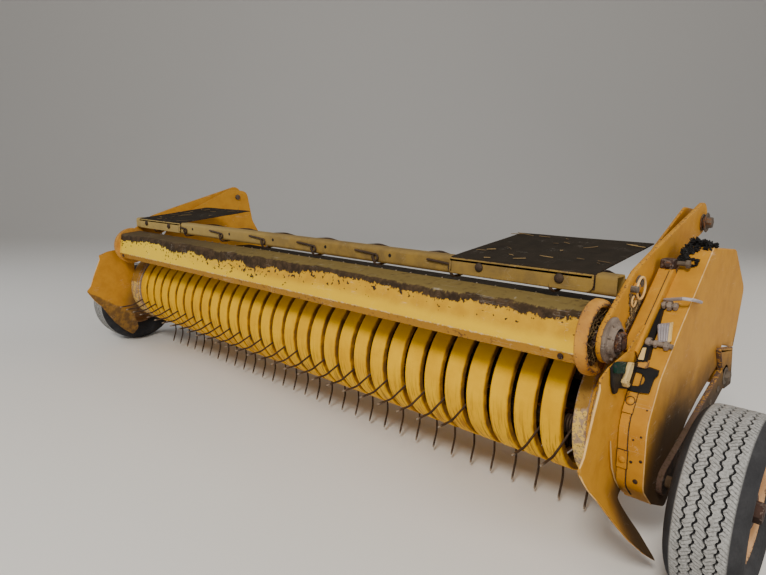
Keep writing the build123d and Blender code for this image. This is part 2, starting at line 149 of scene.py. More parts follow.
def inset(points: Sequence[Flat], distance: float, closed: bool = True) -> list[Flat]:
    """A line or outline moved to its left by a distance.

    Args:
        points: the line.
        distance: how far it moves.
        closed: whether its last point joins the first.

    Returns:
        The moved points.
    """
    made: list[Flat] = []
    count = len(points)
    for i, corner in enumerate(points):
        at = Vector(corner)
        normals = []
        if closed or i > 0:
            step = at - Vector(points[i - 1])
            normals.append(Vector((-step.y, step.x)).normalized())
        if closed or i < count - 1:
            step = Vector(points[(i + 1) % count]) - at
            normals.append(Vector((-step.y, step.x)).normalized())
        lean = normals[0] + normals[-1]
        share = max(1 + normals[0].dot(normals[-1]), 0.35)
        made.append(tuple(at + lean * distance / share))
    return made


def area(points: Sequence[Flat]) -> float:
    """The signed area of an outline, above zero when it runs anticlockwise."""
    return sum(a[0] * b[1] - b[0] * a[1] for a, b in zip(points, [*points[1:], points[0]])) / 2


def inside(place: Flat, outline: Sequence[Flat]) -> bool:
    """Whether a place lies within an outline.

    Args:
        place: the place.
        outline: the outline's corners.

    Returns:
        True when it does.
    """
    crossed = False
    for (x0, y0), (x1, y1) in zip(outline, [*outline[1:], outline[0]]):
        if (y0 > place[1]) != (y1 > place[1]):
            crossed ^= place[0] < x0 + (x1 - x0) * (place[1] - y0) / (y1 - y0)
    return crossed


def strap(stations: Sequence[tuple[float, float, float]], steps: int = 8) -> list[Flat]:
    """The outline of a bar that passes round circles.

    Args:
        stations: the circles, each a side view place and a radius.
        steps: how many pieces make one arc.

    Returns:
        The outline's points, anticlockwise.
    """
    there = list(stations)
    made: list[Flat] = []
    for line in (there, there[::-1]):
        for i, (y, z, radius) in enumerate(line[:-1]):
            turn_in = math.atan2(line[i + 1][1] - z, line[i + 1][0] - y)
            lean = math.acos((radius - line[i + 1][2]) / math.dist((y, z), line[i + 1][:2]))
            leave = turn_in - lean
            if i == 0:
                before = math.atan2(line[1][1] - z, line[1][0] - y)
                arrive = before + lean - math.tau
            else:
                last = line[i - 1]
                along = math.atan2(z - last[1], y - last[0])
                arrive = along - math.acos((last[2] - radius) / math.dist((y, z), last[:2]))
            sweep = (leave - arrive + math.pi) % math.tau - math.pi if i else leave - arrive
            count = steps * 2 if i == 0 else max(1, steps // 3)
            for n in range(count + 1):
                turn = arrive + sweep * n / count
                made.append((y + radius * math.cos(turn), z + radius * math.sin(turn)))
    return made


def frame_at(origin: Sequence[float], axis: Sequence[float],
             up: Sequence[float] = (0, 0, 1)) -> Matrix:
    """A place whose local Z runs along an axis, and whose local Y is as near up as it can be.

    Args:
        origin: where the place is.
        axis: where its Z points.
        up: where its Y should point.

    Returns:
        The place's matrix.
    """
    z = Vector(axis).normalized()
    x = Vector(up).cross(z)
    x = (x if x.length > 0.01 else Vector((0, 1, 0)).cross(z)).normalized()
    y = z.cross(x)
    return Matrix(((x.x, y.x, z.x, origin[0]), (x.y, y.y, z.y, origin[1]),
                   (x.z, y.z, z.z, origin[2]), (0, 0, 0, 1)))


def outward(x: float, y: float, z: float) -> Matrix:
    """A place that faces away from the middle of the machine, at the left end."""
    return frame_at((x, y, z), (1, 0, 0))


# The chain case's outline in the side view, with the radius of each corner
CASE_CORNERS = [(-385, 330, 30), (-172, 311, 40), (-32, 198, 30), (-60, 84, 20), (-76, 41, 6),
                (-203, 72, 4), (-201, 28, 6), (-275, 9, 60), (-378, -24, 60), (-437, -50, 40),
                (-504, -102, 24), (-489, -169, 20), (-540, -225, 24), (-640, -176, 50),
                (-698, -124, 40), (-712, 10, 80), (-662, 95, 60), (-568, 180, 60)]
CASE_FRONT = rounded([c[:2] for c in [*CASE_CORNERS[13:], CASE_CORNERS[0]]],
                     [c[2] for c in [*CASE_CORNERS[13:], CASE_CORNERS[0]]], 6, closed=False)


def case_front(z: float) -> float:
    """The Y place of the chain case's front face at a height.

    Args:
        z: the height.

    Returns:
        The Y place.
    """
    for (y0, z0), (y1, z1) in zip(CASE_FRONT, CASE_FRONT[1:]):
        if z0 <= z <= z1 and z1 > z0:
            return y0 + (y1 - y0) * (z - z0) / (z1 - z0)
    return CASE_FRONT[0 if z < 0 else -1][0]


# The side view line along which a divider's foot is bent
SKID_BEND = [(-880.0, -34.0), (-783.0, -95.0), (-682.0, -162.0)]

# Puts an outline's two coordinates along Y and Z, and its height along X
SIDE_VIEW = Matrix(((0, 0, 1, 0), (1, 0, 0, 0), (0, 1, 0, 0), (0, 0, 0, 1)))
# Puts them along X and Z, and the height along Y
FRONT_VIEW = Matrix(((1, 0, 0, 0), (0, 0, 1, 0), (0, 1, 0, 0), (0, 0, 0, 1)))


class Shape:
    """The mesh of a piece in millimetres, with a wear and a tone for each vertex."""

    def __init__(self) -> None:
        """Starts with nothing in it."""
        self.points: list[Vector] = []
        self.faces: list[tuple[int, ...]] = []
        self.wear: list[float] = []
        self.tone: list[float] = []

    def add(self, points: Sequence, faces: Sequence, wear: Values = 0.0,
            tone: Values = 0.0) -> None:
        """Adds vertices and faces.

        Args:
            points: the vertices.
            faces: index tuples into those vertices.
            wear: how worn they are, 0 to 1, one value or one each.
            tone: a free value from 0 to 1 that the finish reads, one or one each.
        """
        base, count = len(self.points), len(points)
        self.points.extend(Vector(p) for p in points)
        self.faces.extend(tuple(base + i for i in face) for face in faces)
        self.wear.extend([wear] * count if isinstance(wear, (int, float)) else wear)
        self.tone.extend([tone] * count if isinstance(tone, (int, float)) else tone)

    def rings(self, rings: Sequence[Sequence], wear: Values, tone: Values = 0.0,
              loop: bool = False, ends: bool = True) -> None:
        """Skins a row of rings that all have the same number of points.

        Args:
            rings: the rings in order.
            wear: one value, or one for each ring or for each point.
            tone: one value, or one for each ring or for each point.
            loop: whether the last ring joins the first.
            ends: whether the first and last ring are filled.
        """
        size, count = len(rings[0]), len(rings)
        faces = []
        for j in range(count if loop else count - 1):
            near, far = j * size, (j + 1) % count * size
            for i in range(size):
                k = (i + 1) % size
                faces.append((near + i, near + k, far + k, far + i))
        if ends and not loop:
            faces.append(tuple(range(size))[::-1])
            faces.append(tuple((count - 1) * size + i for i in range(size)))

        def spread(value: Values) -> list[float]:
            if isinstance(value, (int, float)):
                return [value] * (size * count)
            return list(value) if len(value) > count else [v for v in value for _ in range(size)]

        self.add([p for ring in rings for p in ring], faces, spread(wear), spread(tone))

    def tube(self, path: Sequence, radius: Values, sides: int, wear: Values = 0.0,
             tone: Values = 0.0, loop: bool = False) -> None:
        """Sweeps a round section along a path, with one radius or one for each point.

        Args:
            path: the points that it passes through.
            radius: one radius, or one for each point.
            sides: how many sides the section has.
            wear: one value, or one for each point.
            tone: one value, or one for each point.
            loop: whether the last point joins the first.
        """
        line = [Vector(p) for p in path]
        count = len(line)
        across = None
        rings = []
        for i, at in enumerate(line):
            if loop:
                along = (line[(i + 1) % count] - line[i - 1]).normalized()
            else:
                along = (line[min(i + 1, count - 1)] - line[max(i - 1, 0)]).normalized()
            if across is None:
                side = Vector((0, 0, 1)) if abs(along.z) < 0.9 else Vector((1, 0, 0))
                across = along.cross(side).normalized()
            across = (across - along * across.dot(along)).normalized()
            up = along.cross(across)
            size = radius if isinstance(radius, (int, float)) else radius[i]
            rings.append([at + (across * math.cos(math.tau * n / sides)
                                + up * math.sin(math.tau * n / sides)) * size
                          for n in range(sides)])
        self.rings(rings, wear, tone, loop=loop)

    def turned(self, profile: Sequence[Flat], place: Matrix, steps: int, wear: Values = 0.0,
               hollow: bool = False) -> None:
        """Turns a profile about a place's axis.

        Args:
            profile: radius and height of each point.
            place: where the axis is.
            steps: how many pieces make the round.
            wear: one value, or one for each profile point.
            hollow: whether the profile closes on itself round a bore.
        """
        rings = [[place @ Vector((r * math.cos(math.tau * n / steps),
                                  r * math.sin(math.tau * n / steps), h))
                  for n in range(steps)] for r, h in profile]
        self.rings(rings, wear, loop=hollow)

    def plate(self, outline: Sequence[Flat], low: float, high: float, bevel: float, rim: float,
              holes: Sequence[Sequence[Flat]] = (), place: Matrix = SIDE_VIEW) -> None:
        """A plate with rounded edges, worn towards them.

        Args:
            outline: its corners in the place's plane.
            low: its lower face's height.
            high: its upper face's height.
            bevel: how far its edges are rounded.
            rim: how far in from the edges the wear reaches.
            holes: outlines of the holes.
            place: where the plane is.
        """
        loops = [list(outline) if area(outline) > 0 else list(outline)[::-1]]
        loops += [list(h)[::-1] if area(h) > 0 else list(h) for h in holes]
        corner = bevel * ROUND
        levels = [(rim, high, 0.0), (rim * 0.4, high, 0.4), (bevel, high, 1.0),
                  (corner, high - corner, 1.0), (0.0, high - bevel, 1.0)]
        levels += [(d, low + high - h, w) for d, h, w in levels[::-1]]
        points: list[Vector] = []
        faces: list[tuple[int, ...]] = []
        wear: list[float] = []
        caps: tuple[list, list] = ([], [])
        for loop in loops:
            size = len(loop)
            for level, (distance, height, worn) in enumerate(levels):
                start = len(points)
                ring = [place @ Vector((u, v, height)) for u, v in inset(loop, distance)]
                points.extend(ring)
                wear.extend([worn] * size)
                if level:
                    for i in range(size):
                        k = (i + 1) % size
                        faces.append((start - size + i, start - size + k, start + k, start + i))
                if level in (0, len(levels) - 1):
                    caps[0 if level == 0 else 1].append((start, ring))
        for cap in caps:
            index = [start + i for start, ring in cap for i in range(len(ring))]
            for triangle in tessellate_polygon([ring for _, ring in cap]):
                faces.append(tuple(index[i] for i in triangle))
        self.add(points, faces, wear)

    def bolt(self, place: Matrix, across: float, washer: float = 1.0) -> None:
        """A hexagon head with its chamfer, on a round washer when that has a thickness.

        Args:
            place: where its seat is.
            across: its width across the flats.
            washer: the washer's share of its full height.
        """
        base = washer * 2.5
        if washer:
            self.turned([(across * 0.3, 0), (across * 0.92, 0), (across * 0.95, base * 0.5),
                         (across * 0.9, base)], place, 20, (0, 0.6, 1, 0.6))
        radius, high = across / math.sqrt(3), across * 0.42
        profile = [(radius, base), (radius, base + high * 0.8), (radius * 0.9, base + high)]
        self.turned(profile, place, 6, (0.2, 0.9, 1.0))
        self.turned([(radius * 0.55, base + high - 0.1), (radius * 0.5, base + high + 0.6)],
                    place, 16, 0.5)

    def dome(self, place: Matrix, radius: float, high: float) -> None:
        """A domed round bolt head."""
        profile = [(radius * math.cos(a), high * math.sin(a) + 1.0)
                   for a in (0.0, 0.35, 0.7, 1.05, 1.35, 1.52)]
        self.turned([(radius, 0), *profile], place, 20, (0.2, 0.5, 0.7, 0.8, 0.9, 0.9, 0.9))

    def weld(self, path: Sequence, radius: float, seed: int) -> None:
        """A lumpy bead of weld along a path.

        Args:
            path: the line that it follows.
            radius: the bead's radius.
            seed: the seed of its lumps.
        """
        dice = random.Random(seed)
        line: list[Vector] = []
        for a, b in zip(path, path[1:]):
            a, b = Vector(a), Vector(b)
            count = max(2, int((b - a).length / (radius * 1.1)))
            line += [a.lerp(b, n / count) for n in range(count)]
        line.append(Vector(path[-1]))
        self.tube(line, [radius * dice.uniform(0.8, 1.15) for _ in line], 6, 0.4)

    def mirror(self, side: Side) -> None:
        """Leaves a shape that is drawn for the left end, or mirrors it for the right end."""
        if side is Side.RIGHT:
            for point in self.points:
                point.x = -point.x

    def folded(self, profile: Sequence[Flat], thick: float, stations: Sequence[float],
               sway: Callable[[float, float], float]) -> None:
        """A sheet with a folded side view profile, worn towards its free edges.

        Args:
            profile: the outer face's line in the side view.
            thick: how thick the sheet is, to the line's left.
            stations: the X places of its rows of points.
            sway: how far a point is pushed to the line's left, from its X and its way along.
        """
        runs = [0.0]
        for a, b in zip(profile, profile[1:]):
            runs.append(runs[-1] + math.dist(a, b))
        whole = runs[-1]
        count = len(profile)
        points, faces, wear, tone = [], [], [], []
        for x in stations:
            for layer in (0.0, thick):
                for i in range(count):
                    points.append((x, *inset_at(profile, i, layer + sway(x, runs[i]))))
                    ends = min(runs[i], whole - runs[i], x - stations[0], stations[-1] - x)
                    wear.append(max(0.0, 1.0 - max(ends, 0.0) / 14.0))
                    tone.append(runs[i] / whole)
        row = 2 * count
        for j in range(len(stations) - 1):
            a, b = j * row, (j + 1) * row
            for i in range(count - 1):
                faces.append((a + i, a + i + 1, b + i + 1, b + i))
                faces.append((a + count + i, b + count + i, b + count + i + 1, a + count + i + 1))
            for i in (0, count - 1):
                faces.append((a + i, b + i, b + count + i, a + count + i))
        for a in (0, (len(stations) - 1) * row):
            for i in range(count - 1):
                faces.append((a + i, a + i + 1, a + count + i + 1, a + count + i))
        self.add(points, faces, wear, tone)

    def pressed(self, outline: Sequence[Flat], height: float, thick: float,
                bulge: Callable[[float, float], float], pitch: float = 14.0, rim: float = 16.0,
                place: Matrix = SIDE_VIEW) -> None:
        """A sheet cut to an outline and pressed out of its plane, worn at its edges.

        Args:
            outline: its edge in the place's plane.
            height: how high its outer face is before it is pressed.
            thick: the way from its outer to its inner face.
            bulge: how far each place of the plane is pressed upwards.
            pitch: how far apart its inner points are.
            rim: how far in from its edge the wear reaches.
            place: where the plane is.
        """
        edge = finer([*outline, outline[0]], pitch * 0.6)[:-1]
        edge = edge if area(edge) > 0 else edge[::-1]
        inner: list[Flat] = []
        low = [min(p[k] for p in edge) for k in (0, 1)]
        high = [max(p[k] for p in edge) for k in (0, 1)]
        for j, z in enumerate(evenly(low[1], high[1], pitch)):
            for y in evenly(low[0], high[0], pitch):
                inner.append((y + (j % 2) * pitch / 2, z))
        count = len(edge)
        ring = [(n, (n + 1) % count) for n in range(count)]
        found = delaunay_2d_cdt([Vector(p) for p in edge + inner], ring, [], 1, 1e-3)
        flat, triangles = [tuple(v) for v in found[0]], found[2]
        used = sorted({i for face in triangles for i in face})
        index = {old: new for new, old in enumerate(used)}
        size = len(used)
        points, wear = [], []
        for layer in (0.0, thick):
            for i in used:
                y, z = flat[i]
                points.append(place @ Vector((y, z, height + layer + bulge(y, z))))
                near = min(math.dist((y, z), p) for p in edge)
                wear.append(max(0.0, 1.0 - near / rim))
        faces = [tuple(index[i] for i in face) for face in triangles]
        sides: dict[tuple[int, int], int] = {}
        for face in faces:
            for a, b in zip(face, (*face[1:], face[0])):
                sides[tuple(sorted((a, b)))] = sides.get(tuple(sorted((a, b))), 0) + 1
        walls = [(a, b, b + size, a + size) for (a, b), times in sides.items() if times == 1]
        back = [tuple(i + size for i in face[::-1]) for face in faces]
        self.add(points, faces + back + walls, wear)

    def piece(self, name: str, finish: "Finish", body: Body, replaces: Sequence[str] = (),
              sharp: float = 42.0, slot: str = "") -> None:
        """Makes the object, in metres, with its finish and body.

        Args:
            name: the piece's name.
            finish: the finish that covers it.
            body: the body that it rides on.
            replaces: the nodes that it stands for.
            sharp: the angle above which an edge is sharp, in degrees.
            slot: the record's slot, where it isn't the finish's own; it is not used.
        """
        mesh = bpy.data.meshes.new(name)
        mesh.from_pydata([tuple(p * MM) for p in self.points], [], self.faces)
        work = bmesh.new()
        work.from_mesh(mesh)
        bmesh.ops.recalc_face_normals(work, faces=work.faces)
        work.to_mesh(mesh)
        work.free()
        for label, values in (("wear", self.wear), ("tone", self.tone)):
            mesh.attributes.new(label, "FLOAT", "POINT").data.foreach_set("value", values)
        mesh.shade_smooth()
        mesh.set_sharp_from_angle(angle=math.radians(sharp))
        made = bpy.data.objects.new(name, mesh)
        bpy.context.scene.collection.objects.link(made)
        mesh.materials.append(finish.material())
        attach(made, body.value)
        slot = slot or finish.slot
        if replaces:
            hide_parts(*replaces)
        logging.info("made %s with %d faces", name, len(mesh.polygons))

    def end_piece(self, side: Side, node: str, look: str, finish: "Finish", body: Body,
                  sharp: float = 42.0) -> None:
        """Makes one end's piece, drawn for the left end, that stands for that end's node.

        Args:
            side: the end.
            node: the node's name without its end.
            look: what the piece's name adds to the node's.
            finish: the finish that covers it.
            body: the body that it rides on.
            sharp: the angle above which an edge is sharp, in degrees.
        """
        self.mirror(side)
        name = f"{node}_{side.label}"
        self.piece(f"{name}_{look}", finish, body, [name], sharp)

    def end_trim(self, side: Side, name: str, finish: "Finish", body: Body) -> None:
        """Makes one end's piece, drawn for the left end, that no node stands behind."""
        self.mirror(side)
        self.piece(f"{name}_{side.label}", finish, body)


def inset_at(profile: Sequence[Flat], i: int, distance: float) -> Flat:
    """One point of an open line, moved to the line's left by a distance."""
    low, high = max(i - 1, 0), min(i + 1, len(profile) - 1)
    return inset(profile[low:high + 1], distance, closed=False)[i - low]


def evenly(start: float, end: float, pitch: float) -> list[float]:
    """Places from start to end, no further apart than a pitch."""
    count = max(1, math.ceil(abs(end - start) / pitch))
    return [start + (end - start) * n / count for n in range(count + 1)]


def finer(line: Sequence[Flat], pitch: float) -> list[Flat]:
    """A line with more points, no further apart than a pitch.

    Args:
        line: the line's points.
        pitch: the widest step.

    Returns:
        The points of the finer line.
    """
    made: list[Flat] = []
    for a, b in zip(line, line[1:]):
        made += [(a[0] + (b[0] - a[0]) * t, a[1] + (b[1] - a[1]) * t)
                 for t in evenly(0.0, 1.0, pitch / max(math.dist(a, b), 1e-6))[:-1]]
    return [*made, line[-1]]


# Node trees

Wire = bpy.types.NodeSocket
Value = Wire | float


class Graph:
    """Adds nodes to a node tree and links them."""

    def __init__(self, tree: bpy.types.NodeTree) -> None:
        """Works on one tree."""
        self.tree = tree

    def node(self, kind: str, settings: dict | None = None, **sockets) -> bpy.types.Node:
        """Adds a node.

        Args:
            kind: the node's type, without its first part.
            settings: the node's own properties.
            sockets: values or sockets for its inputs, by name with _ for a space, or by _number.

        Returns:
            The node.
        """
        made = self.tree.nodes.new("ShaderNode" + kind)
        for key, value in (settings or {}).items():
            setattr(made, key, value)
        for key, value in sockets.items():
            name = int(key[1:]) if key[0] == "_" else key.replace("_", " ")
            self.feed(made.inputs[name], value)
        return made

    def feed(self, socket: Wire, value: Value | Colour) -> None:
        """Links another node's output to an input, or sets its value.

        Args:
            socket: the input.
            value: what it gets.
        """
        if isinstance(value, Wire):
            self.tree.links.new(value, socket)
        else:
            socket.default_value = (*value, 1) if socket.type == "RGBA" else value

    def math(self, operation: str, first: Value, second: Value = 0.0, clamp: bool = False) -> Wire:
        """The result of a Math node."""
        settings = {"operation": operation, "use_clamp": clamp}
        return self.node("Math", settings, _0=first, _1=second).outputs[0]

    def add(self, first: Value, second: Value, clamp: bool = False) -> Wire:
        """The sum of two values."""
        return self.math("ADD", first, second, clamp)

    def less(self, first: Value, second: Value) -> Wire:
        """The first value less the second."""
        return self.math("SUBTRACT", first, second)

    def rest(self, value: Value) -> Wire:
        """What a value leaves of one."""
        return self.less(1.0, value)

    def times(self, first: Value, second: Value, clamp: bool = False) -> Wire:
        """The product of two values."""
        return self.math("MULTIPLY", first, second, clamp)

    def mix(self, factor: Value, first: Wire | Colour, second: Wire | Colour) -> Wire:
        """A colour between two colours."""
        return self.node("Mix", {"data_type": "RGBA"}, _0=factor, _6=first, _7=second).outputs[2]

    def blend(self, factor: Value, first: Value, second: Value) -> Wire:
        """A value between two values."""
        return self.node("Mix", None, _0=factor, _2=first, _3=second).outputs[0]

    def fade(self, value: Value, low: Value, high: Value) -> Wire:
        """A smooth step of a value from 0 at low to 1 at high."""
        return self.node("MapRange", {"interpolation_type": "SMOOTHSTEP"}, Value=value,
                         _1=low, _2=high).outputs[0]

    def attribute(self, name: str) -> Wire:
        """A value that the mesh keeps for each vertex."""
        return self.node("Attribute", {"attribute_name": name}).outputs["Fac"]

    def coordinates(self, kind: str = "Object") -> Wire:
        """Places on the piece in metres, which stay on it when it moves, or its normals."""
        return self.node("TexCoord").outputs[kind]

    def split(self, kind: str = "Object") -> bpy.types.bpy_prop_collection:
        """The X, Y and Z of such a place or normal."""
        return self.node("SeparateXYZ", None, _0=self.coordinates(kind)).outputs

    def noise(self, scale: Value, detail: float = 4.0, rough: float = 0.55,
              stretch: Sequence[float] = (1, 1, 1), shift: float = 0.0) -> Wire:
        """Noise on the piece, finer along an axis whose stretch is above one.

        Args:
            scale: how fine it is.
            detail: how many octaves it has.
            rough: how strong the finer octaves are.
            stretch: the factor along each axis.
            shift: a way that sets it apart from other noises.

        Returns:
            The noise, 0 to 1.
        """
        place = self.node("Mapping", None, Vector=self.coordinates(), Scale=tuple(stretch),
                          Location=(shift, shift * 0.7, shift * 0.3)).outputs[0]
        return self.node("TexNoise", None, Vector=place, Scale=scale, Detail=detail,
                         Roughness=rough).outputs[0]

    def ragged(self, amount: float, *settings, **more) -> Wire:
        """Noise about zero, with half an amount to each side."""
        return self.times(self.less(self.noise(*settings, **more), 0.5), amount)


class Socket(Enum):
    """The kinds of value that pass in and out of the shared groups."""

    VALUE = "NodeSocketFloat"
    COLOUR = "NodeSocketColor"


class Effect:
    """A node group that several finishes place in their materials."""

    name = ""
    inputs: dict[str, float] = {}
    outputs: dict[str, Socket] = {"Mask": Socket.VALUE}

    def build(self, graph: Graph, given: dict[str, Wire]) -> dict[str, Wire]:
        """Fills the group and returns what each output carries.

        Args:
            graph: the group's nodes.
            given: the group's inputs by name.

        Returns:
            The group's outputs by name.
        """
        raise NotImplementedError

    def tree(self) -> bpy.types.NodeTree:
        """The group's tree, made the first time that a material asks for it.

        Returns:
            The node tree.
        """
        if self.name in bpy.data.node_groups:
            return bpy.data.node_groups[self.name]
        tree = bpy.data.node_groups.new(self.name, "ShaderNodeTree")
        for label, value in self.inputs.items():
            tree.interface.new_socket(
                label, in_out="INPUT", socket_type=Socket.VALUE.value).default_value = value
        for label, kind in self.outputs.items():
            tree.interface.new_socket(label, in_out="OUTPUT", socket_type=kind.value)
        start, end = tree.nodes.new("NodeGroupInput"), tree.nodes.new("NodeGroupOutput")
        graph = Graph(tree)
        made = self.build(graph, {label: start.outputs[label] for label in self.inputs})
        for label, value in made.items():
            graph.feed(end.inputs[label], value)
        return tree

    def place(self, graph: Graph, **values) -> bpy.types.bpy_prop_collection:
        """Places the group in a material with its own values and returns its outputs."""
        return graph.node("Group", {"node_tree": self.tree()}, **values).outputs


class EdgeWear(Effect):
    """Where paint has gone from edges and corners."""

    name = "edge_wear"
    inputs = {"Amount": 0.4, "Scale": 170.0}

    def build(self, graph: Graph, given: dict[str, Wire]) -> dict[str, Wire]:
        """Compares the mesh's own wear value with noise.

        Args:
            graph: the group's nodes.
            given: the group's inputs by name.

        Returns:
            The group's outputs by name.
        """
        worn = graph.times(graph.attribute("wear"), 0.55)
        value = graph.add(worn, graph.times(graph.noise(given["Scale"], 6.0), 1.3))
        low = graph.less(1.42, graph.times(given["Amount"], 0.6))
        return {"Mask": graph.fade(value, low, graph.add(low, 0.05))}


class RustBloom(Effect):
    """Patches of rust with their own colour."""

    name = "rust_bloom"
    inputs = {"Amount": 0.3, "Scale": 14.0}
    outputs = {"Mask": Socket.VALUE, "Colour": Socket.COLOUR}

    def build(self, graph: Graph, given: dict[str, Wire]) -> dict[str, Wire]:
        """Mixes a broad and a fine noise.

        Args:
            graph: the group's nodes.
            given: the group's inputs by name.

        Returns:
            The group's outputs by name.
        """
        broad = graph.noise(given["Scale"], 5.0, 0.6)
        fine = graph.noise(graph.times(given["Scale"], 7.0), 4.0, 0.65, shift=3.0)
        value = graph.add(graph.times(broad, 0.7), graph.times(fine, 0.3))
        low = graph.less(0.78, graph.times(given["Amount"], 0.55))
        colour = graph.mix(graph.fade(fine, 0.4, 0.62), (0.035, 0.017, 0.013),
                           (0.21, 0.085, 0.032))
        return {"Mask": graph.fade(value, low, graph.add(low, 0.05)), "Colour": colour}


class FieldDust(Effect):
    """Dry dust that lies thicker on faces turned up."""

    name = "field_dust"
    inputs = {"Amount": 0.3, "Scale": 9.0}

    def build(self, graph: Graph, given: dict[str, Wire]) -> dict[str, Wire]:
        """Adds the face's upward turn to noise.

        Args:
            graph: the group's nodes.
            given: the group's inputs by name.

        Returns:
            The group's outputs by name.
        """
        lying = graph.add(graph.times(graph.split("Normal")[2], 0.55, clamp=True), 0.35)
        value = graph.add(lying, graph.ragged(1.6, given["Scale"], 6.0, 0.65, shift=7.0))
        return {"Mask": graph.times(value, given["Amount"], clamp=True)}


class Scratches(Effect):
    """Fine scratches along and across the piece."""

    name = "scratches"
    inputs = {"Amount": 0.5, "Scale": 22.0}

    def build(self, graph: Graph, given: dict[str, Wire]) -> dict[str, Wire]:
        """Takes thin lines out of two stretched noises.

        Args:
            graph: the group's nodes.
            given: the group's inputs by name.

        Returns:
            The group's outputs by name.
        """
        thin = []
        for stretch, shift in (((0.025, 1.0, 1.3), 1.0), ((1.0, 0.03, 1.1), 5.0)):
            wave = graph.noise(graph.times(given["Scale"], 3.0), 1.0, 0.3, stretch, shift)
            line = graph.math("ABSOLUTE", graph.less(wave, 0.5))
            thin.append(graph.rest(graph.fade(line, 0.0, 0.012)))
        broken = graph.fade(graph.noise(18.0, 4.0, shift=2.0), 0.54, 0.64)
        return {"Mask": graph.times(graph.times(graph.math("MAXIMUM", *thin), broken),
                                    given["Amount"])}


class Grain(Effect):
    """The surface's fine unevenness."""

    name = "grain"
    inputs = {"Scale": 300.0}
    outputs = {"Height": Socket.VALUE, "Tone": Socket.VALUE}

    def build(self, graph: Graph, given: dict[str, Wire]) -> dict[str, Wire]:
        """Adds a fine and a broad noise.

        Args:
            graph: the group's nodes.
            given: the group's inputs by name.

        Returns:
            The group's outputs by name.
        """
        fine = graph.noise(given["Scale"], 3.0, 0.6)
        broad = graph.noise(graph.times(given["Scale"], 0.08), 5.0, 0.6, shift=9.0)
        return {"Height": graph.add(graph.times(fine, 0.4), broad), "Tone": broad}


@dataclass(frozen=True)
class Finish:
    """A painted, bare or moulded surface with its own wear, and the record's slot it stands for."""

    name: str
    base: Colour
    shade: Colour
    under: Colour = (0.10, 0.055, 0.035)
    dirt: Colour = (0.36, 0.29, 0.20)
    rough: float = 0.5
    metallic: float = 0.0
    chips: float = 0.3
    rust: float = 0.1
    dust: float = 0.3
    scratch: float = 0.3
    grain: float = 300.0
    bump: float = 0.25
    gloss: float = 0.12
    slot: str = ""

    def material(self) -> bpy.types.Material:
        """The finish's material, made the first time that a piece asks for it.

        Returns:
            The material.
        """
        label = "finish_" + self.name
        if label in bpy.data.materials:
            return bpy.data.materials[label]
        made = bpy.data.materials.new(label)
        made.use_nodes = True
        made.node_tree.nodes.clear()
        graph = Graph(made.node_tree)
        colour, rough, metal, height = self.layers(graph)
        bump = graph.node("Bump", None, Strength=self.bump, Distance=0.002, Height=height)
        shader = graph.node("BsdfPrincipled", None, Base_Color=colour, Roughness=rough,
                            Metallic=metal, Normal=bump.outputs[0], Specular_IOR_Level=self.gloss)
        out = graph.node("OutputMaterial")
        made.node_tree.links.new(shader.outputs[0], out.inputs[0])
        return made

    def ground(self, graph: Graph, tone: Wire) -> tuple[Wire, Value]:
        """The colour and roughness of the surface before its wear.

        Args:
            graph: the material's nodes.
            tone: the grain's broad noise.

        Returns:
            The colour and roughness.
        """
        return graph.mix(graph.fade(tone, 0.35, 0.68), self.base, self.shade), self.rough

    def layers(self, graph: Graph) -> tuple[Wire, Value, Value, Wire]:
        """Lays chips, rust, scratches and dust over the ground.

        Args:
            graph: the material's nodes.

        Returns:
            Colour, roughness, metallic and height.
        """
        grain = Grain().place(graph, Scale=self.grain)
        colour, rough = self.ground(graph, grain["Tone"])
        lines = Scratches().place(graph, Amount=self.scratch)["Mask"]
        pale = graph.node("Mix", {"data_type": "RGBA", "blend_type": "SCREEN"}, _0=lines,
                          _6=colour, _7=(0.5, 0.46, 0.4)).outputs[2]
        bloom = RustBloom().place(graph, Amount=self.rust)
        colour = graph.mix(bloom["Mask"], pale, bloom["Colour"])
        rough = graph.blend(bloom["Mask"], rough, 0.85)
        worn = EdgeWear().place(graph, Amount=self.chips)["Mask"]
        colour = graph.mix(worn, colour, self.under)
        height = graph.less(grain["Height"], graph.times(worn, 0.4))
        dust = FieldDust().place(graph, Amount=self.dust)["Mask"]
        colour = graph.mix(dust, colour, self.dirt)
        rough = graph.blend(dust, rough, 0.95)
        metal = graph.times(graph.rest(dust), self.metallic) if self.metallic else 0.0
        return colour, rough, metal, height


@dataclass(frozen=True)
class SidePaint(Finish):
    """Paint whose side faces darken towards the ground: painted shadow of the tyre and the ground,
    and dirt.
    """

    shade_and_grime: Colour = (0.038, 0.031, 0.026)

    def ground(self, graph: Graph, tone: Wire) -> tuple[Wire, Value]:
        """Darkens the faces that look sideways, the more the lower and further back they are, as
        painted shade and dirt.

        Args:
            graph: the material's nodes.
            tone: the grain's broad noise.

        Returns:
            The colour and roughness.
        """
        colour, rough = super().ground(graph, tone)
        _, y, z = graph.split()
        high = graph.add(z, graph.ragged(0.14, 9.0, 5.0, 0.6, shift=8.0))
        back = graph.less(y, graph.times(high, 0.5))
        aside = graph.fade(graph.math("ABSOLUTE", graph.split("Normal")[0]), 0.25, 0.7)
        low = graph.times(graph.fade(high, 0.11, -0.04), graph.fade(back, -0.73, -0.58))
        # Painted shadow of the tyre and the ground on the low rear side faces, with dirt.
        mask = graph.times(low, graph.times(aside, 0.90))
        return graph.mix(mask, colour, self.shade_and_grime), graph.blend(mask, rough, 0.85)


